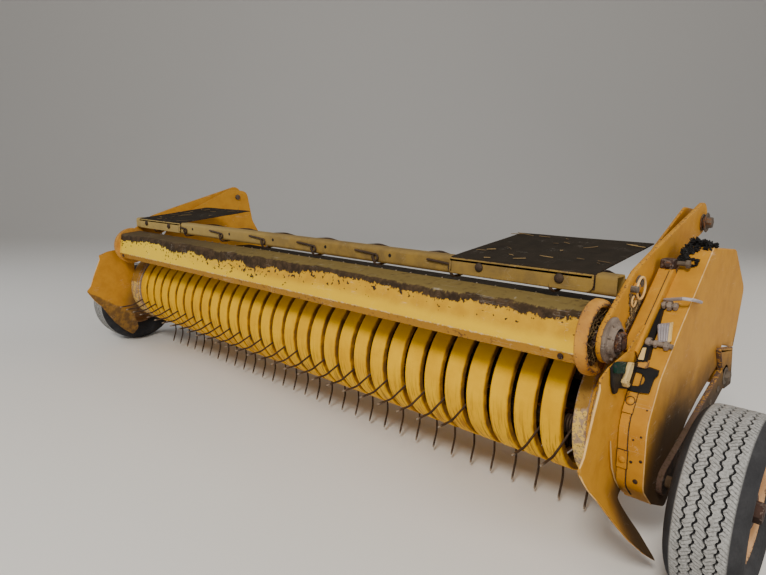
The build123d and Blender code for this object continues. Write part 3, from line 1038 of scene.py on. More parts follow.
@dataclass(frozen=True)
class FootPaint(SidePaint):
    """Paint that is muddy below a sloping line, such as the bend of the far divider's foot; on the
    wheel arm the dark colour below the line is painted shade as well as dirt.
    """

    mud_and_shade: Colour = (0.135, 0.075, 0.030)
    streaks: Colour = (0.30, 0.155, 0.035)
    slope: float = 0.646
    level: float = 0.6025
    soft: float = 0.005

    def ground(self, graph: Graph, tone: Wire) -> tuple[Wire, Value]:
        """Lays muddy streaks below the line, which on the wheel arm are painted shade as well.

        Args:
            graph: the material's nodes.
            tone: the grain's broad noise.

        Returns:
            The colour and roughness.
        """
        colour, rough = super().ground(graph, tone)
        _, y, z = graph.split()
        above = graph.add(graph.add(z, graph.times(y, self.slope)), self.level)
        above = graph.add(above, graph.ragged(0.02, 40.0, 5.0, 0.6))
        below = graph.fade(above, self.soft, -self.soft)
        streak = graph.fade(graph.noise(30.0, 5.0, 0.65, (0.4, 1.6, 1.0), 3.0), 0.42, 0.62)
        mud_and_shade = graph.mix(streak, self.mud_and_shade, self.streaks)
        return graph.mix(graph.times(below, 0.92), colour, mud_and_shade), graph.blend(below, rough, 0.85)


@dataclass(frozen=True)
class BarPaint(Finish):
    """The crossbar's dull paint, paler towards the far end."""

    pale: Colour = (0.46, 0.32, 0.10)

    def ground(self, graph: Graph, tone: Wire) -> tuple[Wire, Value]:
        """Brightens the far end.

        Args:
            graph: the material's nodes.
            tone: the grain's broad noise.

        Returns:
            The colour and roughness.
        """
        colour, rough = super().ground(graph, tone)
        far = graph.rest(graph.fade(graph.split()[0], -0.7, 0.3))
        return graph.mix(far, colour, self.pale), rough


@dataclass(frozen=True)
class FlangePaint(Finish):
    """Ochre paint that the crop has worn to pale blotches on its lower half."""

    worn: Colour = (0.40, 0.28, 0.19)
    blotch: Colour = (0.82, 0.55, 0.13)
    spot: Colour = (0.10, 0.060, 0.030)

    def ground(self, graph: Graph, tone: Wire) -> tuple[Wire, Value]:
        """Lays the blotches below a wavy line and small spots over everything.

        Args:
            graph: the material's nodes.
            tone: the grain's broad noise.

        Returns:
            The colour and roughness.
        """
        colour, rough = super().ground(graph, tone)
        wavy = graph.add(graph.split()[2], graph.ragged(0.07, 20.0, 4.0, 0.6, shift=2.0))
        low = graph.fade(wavy, -0.002, -0.008)
        blotches = graph.fade(graph.noise(60.0, 6.0, 0.64, shift=4.0), 0.46, 0.52)
        colour = graph.mix(low, colour, graph.mix(blotches, self.worn, self.blotch))
        spots = graph.fade(graph.noise(150.0, 5.0, 0.65, shift=9.0), 0.56, 0.64)
        return graph.mix(graph.times(spots, graph.blend(low, 0.45, 0.85)), colour, self.spot), rough


@dataclass(frozen=True)
class BandPlastic(Finish):
    """The strippers' bright plastic, golden and dirty towards the rolled edges."""

    rim: Colour = (0.10, 0.062, 0.030)
    streak: Colour = (0.30, 0.115, 0.008)

    def ground(self, graph: Graph, tone: Wire) -> tuple[Wire, Value]:
        """Darkens the colour towards the band's edges, and streaks its lower half.

        Args:
            graph: the material's nodes.
            tone: the grain's broad noise.

        Returns:
            The colour and roughness.
        """
        colour, rough = super().ground(graph, tone)
        edge = graph.add(graph.attribute("wear"), graph.ragged(0.7, 30.0))
        colour = graph.mix(graph.fade(edge, 0.5, 1.15), colour, self.under)
        colour = graph.mix(graph.times(graph.fade(edge, 0.85, 1.1), 0.7), colour, self.rim)
        low = graph.rest(graph.fade(graph.split()[2], -0.15, 0.0))
        streaks = graph.fade(graph.noise(150.0, 4.0, 0.6, (1.0, 0.07, 0.07), 2.0), 0.50, 0.58)
        colour = graph.mix(graph.times(graph.times(streaks, low), 0.75), colour, self.streak)
        return colour, graph.blend(graph.fade(edge, 0.3, 0.9), rough, 0.7)

    def layers(self, graph: Graph) -> tuple[Wire, Value, Value, Wire]:
        """Leaves the chips out, as plastic has none.

        Args:
            graph: the material's nodes.

        Returns:
            Colour, roughness, metallic and height.
        """
        grain = Grain().place(graph, Scale=self.grain)
        colour, rough = self.ground(graph, grain["Tone"])
        lines = Scratches().place(graph, Amount=self.scratch, Scale=30.0)["Mask"]
        dust = FieldDust().place(graph, Amount=self.dust)["Mask"]
        colour = graph.mix(dust, graph.mix(lines, colour, self.under), self.dirt)
        return colour, graph.blend(dust, rough, 0.9), 0.0, grain["Height"]


@dataclass(frozen=True)
class GuardPaint(Finish):
    """The wind guard's old paint with the rust along its top bend.

    The mesh's tone is the way across the sheet, 0 at its back edge and 1 at its lip. The ends of
    the X places are in metres.
    """

    fold: float = 0.884
    # Painted sunlight: the colour of the sunlit strip at the foot of the face, and of the sunlit
    # far end.
    foot: Colour = (0.82, 0.50, 0.012)
    far: Colour = (0.90, 0.60, 0.03)
    rusts: tuple[Colour, Colour] = ((0.022, 0.014, 0.010), (0.056, 0.034, 0.020))
    olives: tuple[Colour, Colour, Colour] = ((0.20, 0.145, 0.045), (0.075, 0.055, 0.032),
                                             (0.085, 0.060, 0.026))
    # The lip's colour is painted shade on the downward lip, its specks are rust, and the third is
    # the pale line along the fold.
    lips: tuple[Colour, Colour, Colour] = ((0.40, 0.19, 0.020), (0.12, 0.055, 0.022),
                                           (0.66, 0.50, 0.26))

    def ground(self, graph: Graph, tone: Wire) -> tuple[Wire, Value]:
        """Lays the ochre face with painted sunlight on its foot and its far end, and then the other
        layers.

        Args:
            graph: the material's nodes.
            tone: the grain's broad noise.

        Returns:
            The colour and roughness.
        """
        colour, rough = super().ground(graph, tone)
        way, across = graph.attribute("tone"), graph.split()[0]
        cloud = graph.less(graph.noise(7.0, 4.0, 0.6, (1.0, 1.0, 0.35)), 0.5)
        # Where the painted sunlight falls: the foot of the face and the far end.
        foot = graph.fade(graph.add(way, graph.times(cloud, 0.2)), 0.66, 0.80)
        far = graph.rest(graph.fade(across, -0.75, 0.1))
        colour = graph.mix(far, graph.mix(foot, colour, self.foot), self.far)
        streak = graph.ragged(0.18, 120.0, 5.0, 0.7, (1.0, 0.6, 0.55), 4.0)
        line = graph.add(way, graph.add(graph.times(cloud, 0.34), streak))
        patch = graph.noise(45.0, 6.0, 0.65, shift=2.0)
        band = self.band(graph, line, across, far)
        colour = graph.mix(band, colour, graph.mix(graph.fade(patch, 0.42, 0.62), *self.rusts))
        olive = graph.mix(far, *self.olives[:2])
        olive = graph.mix(graph.fade(patch, 0.28, 0.48), self.olives[2], olive)
        top = graph.rest(graph.fade(line, 0.39, 0.43))
        colour = graph.mix(graph.times(top, 0.85), colour, olive)
        return self.lip(graph, way, colour), graph.blend(band, rough, 0.8)

    def band(self, graph: Graph, line: Wire, across: Wire, far: Wire) -> Wire:
        """The rust below the bend: a ragged band with lobes in the middle and loose dots.

        Args:
            graph: the material's nodes.
            line: the way across the sheet, made ragged.
            across: the X place.
            far: how near the far end is, 0 to 1.

        Returns:
            Where the rust is.
        """
        middle = graph.times(graph.fade(across, -0.9, -0.5), graph.fade(across, 0.45, 0.0))
        lobes = graph.less(graph.noise(16.0, 2.0, 0.5, (1.0, 1.0, 0.3), 8.0), 0.22)
        lobes = graph.times(graph.times(lobes, 0.25), middle)
        line = graph.less(line, graph.add(lobes, graph.times(far, 0.02)))
        close = graph.times(graph.fade(across, 0.80, 0.40), 0.06)
        dots = graph.add(graph.noise(75.0, 2.0, 0.5, shift=6.0), close)
        dots = graph.less(dots, graph.times(graph.fade(line, 0.58, 0.85), 0.2))
        return graph.math("MAXIMUM", graph.rest(graph.fade(line, 0.515, 0.53)),
                          graph.fade(dots, 0.655, 0.67))

    def lip(self, graph: Graph, way: Wire, colour: Wire) -> Wire:
        """Lays the darker lip below the fold, which is painted shade on the downward lip with rust
        specks, and a pale broken line along the fold.

        Args:
            graph: the material's nodes.
            way: the way across the sheet, 0 to 1.
            colour: the colour so far.

        Returns:
            The colour with the lip.
        """
        speck = graph.fade(graph.noise(70.0, 6.0, 0.7), 0.56, 0.66)
        under = graph.fade(way, self.fold - 0.01, self.fold + 0.01)
        # Painted shade on the lip, with rust specks.
        colour = graph.mix(under, colour, graph.mix(speck, *self.lips[:2]))
        near = graph.math("ABSOLUTE", graph.less(way, self.fold))
        fold_line = graph.add(near, graph.times(graph.noise(120.0, 4.0), 0.07))
        return graph.mix(graph.times(graph.rest(graph.fade(fold_line, 0.034, 0.044)), 0.75), colour,
                         self.lips[2])


@dataclass(frozen=True)
class TineSteel(Finish):
    """Spring wire, dark and rusty, with a pale polished tip."""

    tip: Colour = (0.30, 0.24, 0.18)

    def ground(self, graph: Graph, tone: Wire) -> tuple[Wire, Value]:
        """Polishes the wire towards its tip.

        Args:
            graph: the material's nodes.
            tone: the grain's broad noise.

        Returns:
            The colour and roughness.
        """
        colour, rough = super().ground(graph, tone)
        tip = graph.fade(graph.add(graph.attribute("tone"), graph.ragged(0.5, 80.0)), 0.35, 0.8)
        return graph.mix(tip, colour, self.tip), graph.blend(tip, rough, 0.42)


@dataclass(frozen=True)
class TyreRubber(Finish):
    """Tyre rubber with a dusty tread, dark grooves and fine sipes."""

    centre: tuple[float, float, float] = (WHEEL_X * MM, WHEEL_Y * MM, WHEEL_Z * MM)
    radius: float = 0.184
    pitch: float = 0.0078
    wave: float = 0.0195
    clean: Colour = (0.34, 0.335, 0.32)

    def sipe(self, graph: Graph, tread: Wire) -> Wire:
        """Where the fine slanted cuts across the tread are.

        Args:
            graph: the material's nodes.
            tread: where the tread is.

        Returns:
            The cuts' mask.
        """
        x, y, z = graph.split()
        y, z = graph.less(y, self.centre[1]), graph.less(z, self.centre[2])
        turn = graph.times(graph.math("ARCTAN2", z, y), self.radius / self.pitch)
        across = graph.less(graph.math("ABSOLUTE", x), self.centre[0])
        slant = graph.times(graph.math("PINGPONG", graph.add(across, 1.0), self.wave), 75.0)
        wobble = graph.times(graph.noise(110.0, 3.0, 0.6), 0.7)
        cut = graph.math("FRACT", graph.add(graph.add(turn, slant), wobble))
        line = graph.times(graph.fade(cut, 0.0, 0.12), graph.rest(graph.fade(cut, 0.2, 0.34)))
        strong = graph.fade(graph.noise(45.0, 3.0, shift=5.0), 0.3, 0.6)
        return graph.times(line, graph.times(graph.fade(tread, 0.6, 0.9), strong))

    def layers(self, graph: Graph) -> tuple[Wire, Value, Value, Wire]:
        """Reads the tread, groove and wall from the mesh, and cuts the sipes as bump.

        Args:
            graph: the material's nodes.

        Returns:
            Colour, roughness, metallic and height.
        """
        grain = Grain().place(graph, Scale=self.grain)
        tread, groove = graph.attribute("wear"), graph.attribute("tone")
        sipe = self.sipe(graph, tread)
        dust = FieldDust().place(graph, Amount=self.dust, Scale=14.0)["Mask"]
        worn = graph.add(dust, graph.times(tread, 0.72), clamp=True)
        worn = graph.times(worn, graph.rest(groove))
        worn = graph.times(worn, graph.rest(graph.times(sipe, 0.42)))
        speckles = graph.fade(graph.noise(260.0, 5.0, 0.7), 0.38, 0.60)
        speckled = graph.mix(speckles, self.clean, self.dirt)
        colour = graph.mix(graph.fade(grain["Tone"], 0.35, 0.7), self.base, self.shade)
        height = graph.less(grain["Height"], graph.times(sipe, 2.0))
        return graph.mix(worn, colour, speckled), graph.blend(worn, self.rough, 0.9), 0.0, height


@dataclass(frozen=True)
class StrawStalk(Finish):
    """Dry straw, each stalk with its own tone."""

    def layers(self, graph: Graph) -> tuple[Wire, Value, Value, Wire]:
        """Picks each stalk's colour by its tone.

        Args:
            graph: the material's nodes.

        Returns:
            Colour, roughness, metallic and height.
        """
        grain = Grain().place(graph, Scale=self.grain)
        colour = graph.mix(graph.attribute("tone"), self.base, self.shade)
        return colour, self.rough, 0.0, grain["Height"]


BAND_YELLOW = BandPlastic(
    "band_plastic", (0.90, 0.50, 0.0005), (0.78, 0.40, 0.0005), under=(0.42, 0.17, 0.006),
    dirt=(0.34, 0.16, 0.02), rough=0.55, dust=0.07, grain=120.0, bump=0.15, slot="band_plastic")
YELLOW = SidePaint(
    "yellow_paint", (0.555, 0.258, 0.020), (0.48, 0.212, 0.017), under=(0.16, 0.085, 0.04),
    dirt=(0.30, 0.165, 0.05), chips=0.22, rust=0.07, dust=0.12, slot="yellow_paint")
FOOT = FootPaint(
    "muddy_paint", YELLOW.base, YELLOW.shade, under=YELLOW.under, dirt=YELLOW.dirt, chips=0.22,
    rust=0.07, dust=0.12, slot="yellow_paint")
# The wheel arm's dark lower part: painted shade, and muddy dirt.
ARM_SHADE_AND_MUD = FootPaint(
    "arm_shade_and_mud", (0.50, 0.24, 0.030), (0.40, 0.19, 0.030), under=(0.10, 0.06, 0.045),
    dirt=(0.16, 0.11, 0.07), rough=0.6, chips=0.5, rust=0.2, dust=0.2, slot="yellow_paint",
    mud_and_shade=(0.030, 0.025, 0.024), streaks=(0.075, 0.052, 0.038), slope=0.0, level=0.035,
    soft=0.028)
GUARD_YELLOW = GuardPaint(
    "guard_paint", (0.66, 0.36, 0.018), (0.56, 0.29, 0.015), dirt=(0.34, 0.21, 0.07),
    rough=0.6, chips=0.25, dust=0.10, scratch=0.4, slot="worn_paint")
FLANGE = FlangePaint(
    "flange_paint", (0.40, 0.215, 0.035), (0.30, 0.155, 0.026), under=(0.34, 0.24, 0.18),
    dirt=(0.30, 0.18, 0.07), rough=0.6, chips=0.7, rust=0.2, dust=0.15, slot="worn_paint")
# Pale paint for the arm's ring, and painted highlights along the lit edges of the divider and the
# case.
PALE_PAINT_AND_HIGHLIGHT = Finish(
    "pale_paint_and_highlight", (0.80, 0.52, 0.20), (0.64, 0.37, 0.12), dirt=(0.50, 0.32, 0.15),
    chips=0.2, rust=0.2, dust=0.1, slot="worn_paint")
CREAM = Finish(
    "cream_paint", (0.74, 0.54, 0.22), (0.60, 0.40, 0.14), under=(0.24, 0.16, 0.09),
    dirt=(0.40, 0.28, 0.14), rough=0.55, chips=0.14, rust=0.14, dust=0.15, slot="worn_paint")
BAR_YELLOW = BarPaint(
    "bar_paint", (0.30, 0.185, 0.040), (0.20, 0.125, 0.035), dirt=(0.15, 0.11, 0.06),
    rough=0.7, chips=0.25, rust=0.18, dust=0.45, slot="yellow_paint")
ORANGE = Finish(
    "orange_paint", (0.60, 0.28, 0.04), (0.42, 0.18, 0.03), under=(0.14, 0.08, 0.05),
    dirt=(0.30, 0.18, 0.08), rough=0.55, chips=0.45, rust=0.26, dust=0.2, slot="orange_paint")
RIM_PAINT = Finish(
    "rim_paint", (0.62, 0.36, 0.17), (0.46, 0.25, 0.12), under=(0.12, 0.07, 0.05),
    dirt=(0.40, 0.27, 0.15), rough=0.6, chips=0.4, rust=0.34, dust=0.2, slot="orange_paint")
# Dusty paint made near black: painted shade on the guide plates, the feed deck and the back sheet,
# with dust over it.
DUST_AND_SHADE = Finish(
    "dusty_paint", (0.022, 0.016, 0.011), (0.010, 0.008, 0.006),
    dirt=(0.034, 0.026, 0.018), rough=0.95, chips=0.2, rust=0.2, dust=0.5, gloss=0.1,
    slot="dusty_paint")
GREEN = Finish(
    "green_paint", (0.004, 0.034, 0.023), (0.004, 0.020, 0.014), under=(0.03, 0.03, 0.03),
    dirt=(0.06, 0.06, 0.04), chips=0.2, rust=0.05, dust=0.1)
CAST = Finish(
    "grey_casting", (0.25, 0.20, 0.165), (0.12, 0.092, 0.076), dirt=(0.28, 0.205, 0.145),
    rough=0.75, metallic=0.1, chips=0.25, rust=0.34, grain=260.0, bump=0.7, slot="grey_casting")
RUSTY = Finish(
    "rusty_steel", (0.060, 0.032, 0.026), (0.028, 0.017, 0.015), under=(0.16, 0.12, 0.10),
    dirt=(0.14, 0.09, 0.06), rough=0.65, metallic=0.3, rust=0.35, dust=0.15, bump=0.6,
    slot="rusty_steel")
# Dark steel, also used for painted shade along the post's fold, in the case's seam and in a hole on
# its front.
DARK_STEEL_AND_SHADE = Finish(
    "dark_steel", (0.028, 0.022, 0.018), (0.055, 0.035, 0.024), dirt=(0.13, 0.09, 0.06),
    rough=0.6, metallic=0.3, rust=0.3, dust=0.25, slot="dark_steel")
SPRING = TineSteel(
    "spring_steel", (0.070, 0.040, 0.026), (0.036, 0.022, 0.016), rough=0.55, metallic=0.4,
    chips=0.0, rust=0.25, dust=0.08, slot="spring_steel")
ZINC = Finish(
    "zinc_steel", (0.15, 0.125, 0.10), (0.08, 0.062, 0.05), dirt=(0.13, 0.09, 0.055),
    rough=0.7, metallic=0.2, chips=0.2, rust=0.4, dust=0.4, slot="zinc_steel")
PLATED = Finish(
    "pale_plating", (0.46, 0.42, 0.44), (0.32, 0.29, 0.31), dirt=(0.24, 0.19, 0.14),
    metallic=0.3, chips=0.1, rust=0.16, dust=0.15, slot="zinc_steel")
RUBBER = TyreRubber(
    "tyre_rubber", (0.022, 0.022, 0.025), (0.034, 0.034, 0.038), dirt=(0.52, 0.515, 0.50),
    rough=0.85, dust=0.05, grain=260.0, bump=0.7, slot="tyre_rubber")
STRAW = StrawStalk(
    "dry_straw", (0.46, 0.31, 0.13), (0.07, 0.045, 0.028), rough=0.8, grain=900.0)
# Black grease, also used for painted shade in the bar's rod holes.
GREASE_AND_SHADE = Finish(
    "black_grease_and_shade", (0.008, 0.008, 0.009), (0.016, 0.015, 0.015), dirt=(0.05, 0.04, 0.03),
    rough=0.45, chips=0.0, rust=0.0, dust=0.08, scratch=0.0, grain=160.0, bump=0.5)


# Sub-assemblies

@dataclass
class StripperBands:
    """The hairpin bands that the tines pass between."""

    radius: float = 165.0
    wide: float = 50.0
    thick: float = 3.5
    fold: float = 16.0
    edge: float = 4.5
    leg: float = 314.7
    bends: int = 28
    starts: tuple[float, float] = (1026.5, LAST_TINE + 6.0)

    def section(self, left: float, right: float) -> list[tuple[float, float, float]]:
        """Once round a band's section: X, depth under its outer face, and wear.

        Args:
            left: its lower X place.
            right: its higher one.

        Returns:
            The section's points.
        """
        outer: list[tuple[float, float, float]] = [(left, self.fold, 1.0)]
        middle, half = (left + right) / 2, (right - left) / 2
        edge = min(self.edge, half * 0.7)
        for side, turns in ((-1, (0, 22, 45, 68, 90)), (1, (90, 68, 45, 22, 0))):
            for turn in turns:
                a = math.radians(turn)
                outer.append((middle + side * (half - edge + edge * math.cos(a)),
                              edge - edge * math.sin(a), 1.0 - 0.5 * turn / 90))
            if side < 0:
                outer += [(middle - (half - edge) * 0.55, 0.0, 0.12), (middle, 0.0, 0.0),
                          (middle + (half - edge) * 0.55, 0.0, 0.12)]
        outer.append((right, self.fold, 1.0))
        line = [(x, -d) for x, d, _ in outer]
        inner = inset(line, -self.thick, closed=False)
        return outer + [(x, -z, 1.0) for x, z in inner[::-1]]

    def stations(self) -> list[tuple[float, float, float, float]]:
        """Side view places along a hairpin with the outward direction at each.

        Returns:
            Each place's Y and Z, and the direction's Y and Z.
        """
        made = [(REEL_Y + self.leg * t, REEL_Z, 0.0, -1.0) for t in (1.0, 0.75, 0.5, 0.25, 0.08)]
        for n in range(self.bends + 1):
            turn = math.radians(-90 + 180 * n / self.bends)
            made.append((REEL_Y, REEL_Z, -math.cos(turn), math.sin(turn)))
        made += [(REEL_Y + self.leg * t, REEL_Z, 0.0, 1.0) for t in (0.08, 0.25, 0.5, 0.75, 1.0)]
        return made

    def band(self, shape: Shape, left: float, right: float,
             stations: Sequence[tuple[float, float, float, float]] | None = None) -> None:
        """Adds one band between two X places.

        Args:
            shape: the shape that it goes into.
            left: its lower X place.
            right: its higher one.
            stations: the line that it follows, if not a hairpin's.
        """
        section = self.section(left, right)
        rows = stations or self.stations()
        size, base = len(section), len(shape.points)
        shape.rings([[(x, y + ny * (self.radius - depth), z + nz * (self.radius - depth))
                      for x, depth, _ in section] for y, z, ny, nz in rows],
                    [worn for _ in rows for *_, worn in section],
                    random.Random(int(left)).random(), ends=False)
        for end in (base, base + (len(rows) - 1) * size):
            for i in range(size // 2 - 1):
                shape.faces.append((end + i, end + i + 1, end + size - 2 - i, end + size - 1 - i))

    def build(self) -> None:
        """Makes the bands, the two end bands and all their bolts."""
        bands, bolts = Shape(), Shape()
        for x in BANDS:
            self.band(bands, x - self.wide / 2, x + self.wide / 2)
            for up in (1, -1):
                bolts.dome(frame_at((x, RAIL_Y, REEL_Z + up * self.radius), (0, 0, up)), 10, 5)
        bands.piece("stripper_bands_moulded", BAND_YELLOW, Body.FRAME, ["stripper_bands"])
        for side, start in zip(Side, self.starts):
            end = Shape()
            self.band(end, start, SHEET_IN)
            end.end_piece(side, "end_band", "rolled", FLANGE, Body.FRAME)
        bolts.piece("band_bolts", ZINC, Body.FRAME)


@dataclass
class TineReel:
    """The reel's double spring tines."""

    bars: int = 5
    first: float = -14.5
    knee: tuple[float, float] = (216.0, 3.5)
    circle: float = 104.0
    coil: float = 19.6
    wire: float = 3.0
    tip: float = 268.0
    turns: int = 4
    steps: int = 12
    lost: tuple[int, int] = (0, 14)

    def leg(self, angle: float) -> list[Flat]:
        """A wire's side view line from its tip to its coil.

        Args:
            angle: the tine's angle above straight ahead.

        Returns:
            The line's points.
        """
        start = polar(self.circle + self.coil, angle)
        knee = polar(self.knee[0], angle - self.knee[1])
        end = polar(self.tip, angle)
        line = rounded([end, knee, start], 60.0, 6, closed=False)
        line[1:1] = [tuple(Vector(end).lerp(Vector(line[1]), t)) for t in (0.15, 0.45)]
        return inset(line, self.wire, closed=False)

    def row(self, number: int) -> Shape:
        """All double tines of one bar.

        Args:
            number: the bar's number from 0.

        Returns:
            The tines' shape.
        """
        angle = self.first + 360.0 * number / self.bars
        turn = math.radians(angle)
        out = Vector((0, -math.cos(turn), math.sin(turn)))
        up = Vector((0, math.sin(turn), math.cos(turn)))
        middle = Vector((0, *polar(self.circle, angle)))
        leg = self.leg(angle)
        shape = Shape()
        for place, (left, right) in enumerate(zip(COLUMNS[0::2], COLUMNS[1::2])):
            if (number, place) == self.lost:
                continue
            path = [Vector((left, y, z)) for y, z in leg]
            rise = (2 * self.wire + 0.5) / self.steps
            for start, way in ((left, 1), (right, -1)):
                turns = [(n, math.tau * n / self.steps)
                         for n in range(1, self.turns * self.steps + 1)]
                helix = [middle + Vector((start + way * rise * n, 0, 0))
                         + (out * math.cos(a) + up * math.sin(a)) * self.coil for n, a in turns]
                path += helix if way > 0 else helix[::-1]
            path += [Vector((right, y, z)) for y, z in leg[::-1]]
            ends = [min(n, len(path) - 1 - n) for n in range(len(path))]
            shape.tube(path, [self.wire * (0.7 if e == 0 else 1.0) for e in ends], 7, 0.0,
                       [max(0.0, 1.0 - e * 0.42) for e in ends])
            centre = (left + right) / 2
            shape.turned([(5, 0), (9, 0), (9, 2), (7, 5)],
                         frame_at(middle + out * (self.coil - 2) + Vector((centre, 0, 0)), out), 12)
        return shape

    def build(self) -> None:
        """Makes one piece for each row."""
        for number in range(self.bars):
            self.row(number).piece(f"tines_{number + 1}_sprung", SPRING, Body.REEL,
                                   [f"tine_row_{number + 1}"], 60.0)


@dataclass
class WindGuard:
    """The folded guard sheet with its end cups, shafts, clamps and arms."""

    half: float = 1055.0
    thick: float = 4.0
    cup: float = 78.0
    cup_deep: float = 24.0
    shaft: float = 36.0
    clamp: float = 47.0

    def build_sheet(self) -> None:
        """Makes the sheet with rounded bends and a few dents."""
        line = rounded([(CUP_Y + 33, CUP_Z + 66), (CUP_Y - 50, CUP_Z + 56),
                        (CUP_Y - 62, CUP_Z - 26), (CUP_Y - 56, CUP_Z - 47)], 12.0, 5, closed=False)

        def sway(x: float, run: float) -> float:
            wave = noise.noise(Vector((x / 260, run / 90, 0.3))) * 1.8
            dent = max(0.0, noise.noise(Vector((x / 70, run / 45, 5.1))) - 0.35) * 5.0
            lip = max(0.0, run - 150) / 40 * noise.noise(Vector((x / 90, 1.7, 2.2))) * 2.4
            return 1.2 + wave * 0.6 + dent + lip

        shape = Shape()
        shape.folded(finer(line, 9.0), self.thick - 1.0, evenly(-self.half, self.half, 12.0), sway)
        shape.piece("guard_sheet_bent", GUARD_YELLOW, Body.GUARD, ["guard_sheet"])
        bolts = Shape()
        for x in (-1023.0, 1023.0):
            bolts.dome(frame_at((x, CUP_Y - 59.5, CUP_Z - 36), (0, -1, -0.25)), 6.5, 3.5)
        bolts.piece("guard_lip_bolts", RUSTY, Body.GUARD)

    def square(self, radius: float, steps: int) -> list[Flat]:
        """The square shaft's section, with its corners rounded."""
        half = self.shaft / 2
        corners = rectangle(CUP_Y - half, CUP_Z - half, CUP_Y + half, CUP_Z + half)
        return rounded(corners, radius, steps)

    def build_cup(self, side: Side) -> None:
        """Makes one end's dished cup and the shaft through it.

        Args:
            side: the end.
        """
        cup, r = Shape(), self.cup
        dish = [(17.0, 0.0), (r - 3, 0.0), (r, 3.0), (r, 13.0), (r - 1.5, 19.0), (r - 5, 23.0),
                (r - 9, self.cup_deep), (r - 13, 22.5), (r - 16, 18.0), (r - 17, 12.0),
                (r - 22, 6.0), (r - 40, 3.5), (17.0, 3.0)]
        cup.turned(dish, outward(self.half, CUP_Y, CUP_Z), 56,
                   (0, 0.5, 0.8, 0.3, 0.5, 0.8, 1.0, 0.8, 0.5, 0.2, 0.1, 0, 0), hollow=True)
        cup.end_piece(side, "end_cup", "rolled", ORANGE, Body.GUARD)
        shaft = Shape()
        shaft.plate(self.square(7.0, 4), LAST_TINE + 6.0, ARM_OUT + 28.0, 5.0, 9.0)
        shaft.end_piece(side, "guard_shaft", "squared", RUSTY, Body.GUARD)

    def build_chaff(self, side: Side) -> None:
        """Fills one cup's dish with packed chaff and a few stalks.

        Args:
            side: the end.
        """
        dice = random.Random(11 + side.value)
        shape = Shape()
        rings, last = [], 8
        for n in range(last + 1):
            ring = []
            for y, z in circle(0.0, 0.0, 24.0 + 36.0 * n / last, 40):
                lump = noise.noise(Vector((y / 14, z / 14, side.value * 3))) * 5
                depth = 11 + lump - (4 if n == last else 0) - (7 if n == 0 else 0)
                ring.append((self.half + max(depth, 3.5), CUP_Y + y, CUP_Z + z))
            rings.append(ring)
        shape.rings(rings, 0, 1.0, ends=False)
        for _ in range(240):
            turn, reach = dice.uniform(0, math.tau), dice.uniform(20, 58)
            at = Vector((self.half + dice.uniform(9, 18), CUP_Y + reach * math.cos(turn),
                         CUP_Z + reach * math.sin(turn)))
            stalk(shape, at, dice, dice.uniform(8, 22), 0.7, flat=(0.25, 1, 1))
        shape.end_trim(side, "cup_chaff", STRAW, Body.GUARD)

    def build_clamp(self, side: Side) -> None:
        """Makes one end's cast clamp with its ribs and lumps.

        Args:
            side: the end.
        """
        clamp, hole = Shape(), self.shaft * 0.72
        clamp.turned([(hole, 0), (self.clamp - 1, 0), (self.clamp, 1.5), (self.clamp, 6.0),
                      (self.clamp - 2, 8.0), (self.clamp - 7, 8.6), (36, 8.6), (34, 10.5),
                      (33, 16.0), (30, 18.0), (hole, 18.0)], outward(ARM_OUT, CUP_Y, CUP_Z), 40,
                     (0, 0.4, 0.8, 0.8, 1, 0.6, 0.2, 0.2, 0.8, 1, 0.6), hollow=True)
        for n in range(8):
            turn = math.tau * (n + 0.5) / 8
            out = Vector((0, math.cos(turn), math.sin(turn)))
            rib = frame_at(Vector((ARM_OUT, CUP_Y, CUP_Z)) + out * 34, out, (1, 0, 0))
            clamp.plate(rectangle(-2.5, 7.5, 2.5, 14.0), -6.0, 6.0, 1.0, 1.6, place=rib)
        for point in clamp.points:
            out = Vector((0, point.y - CUP_Y, point.z - CUP_Z))
            lump = noise.noise(point / 13.0) * 1.5 + noise.noise(point / 5.0) * 0.6
            if out.length > hole + 3:
                point += out.normalized() * min(lump - 0.8, 0.0)
                point.x += min(lump, 0.0) if point.x > ARM_OUT + 3 else 0.0
        clamp.end_piece(side, "guard_clamp", "ribbed", CAST, Body.GUARD)

    def build_arm(self, side: Side) -> None:
        """Makes one end's arm with its ring, knob and bolts.

        Args:
            side: the end.
        """
        arm = Shape()
        outline = strap([(CUP_Y, CUP_Z, 46.0), (CUP_Y + 126, CUP_Z + 85, 46.0),
                         (CUP_Y + 231, CUP_Z + 128, 37.0), (PIVOT_Y, PIVOT_Z + 10, 40.0)])
        arm.plate(outline, ARM_IN, ARM_OUT, 1.6, 9.0,
                  [self.square(1.0, 2), circle(PIVOT_Y, PIVOT_Z, 12.2)])
        arm.end_piece(side, "guard_arm", "cut", YELLOW, Body.GUARD)

        ring = Shape()
        for x, line, wire in ((11, circle(-581, 254, 23), 2.6), (5, circle(-599, 228, 11, 20), 2)):
            ring.tube([(ARM_OUT + x, *p) for p in line], wire, 8, 0.2, loop=True)
        ring.end_trim(side, "arm_ring", PALE_PAINT_AND_HIGHLIGHT, Body.GUARD)
        knob = Shape()
        knob.dome(outward(ARM_OUT, -581, 254), 11.0, 9.0)
        knob.end_trim(side, "arm_knob", ORANGE, Body.GUARD)

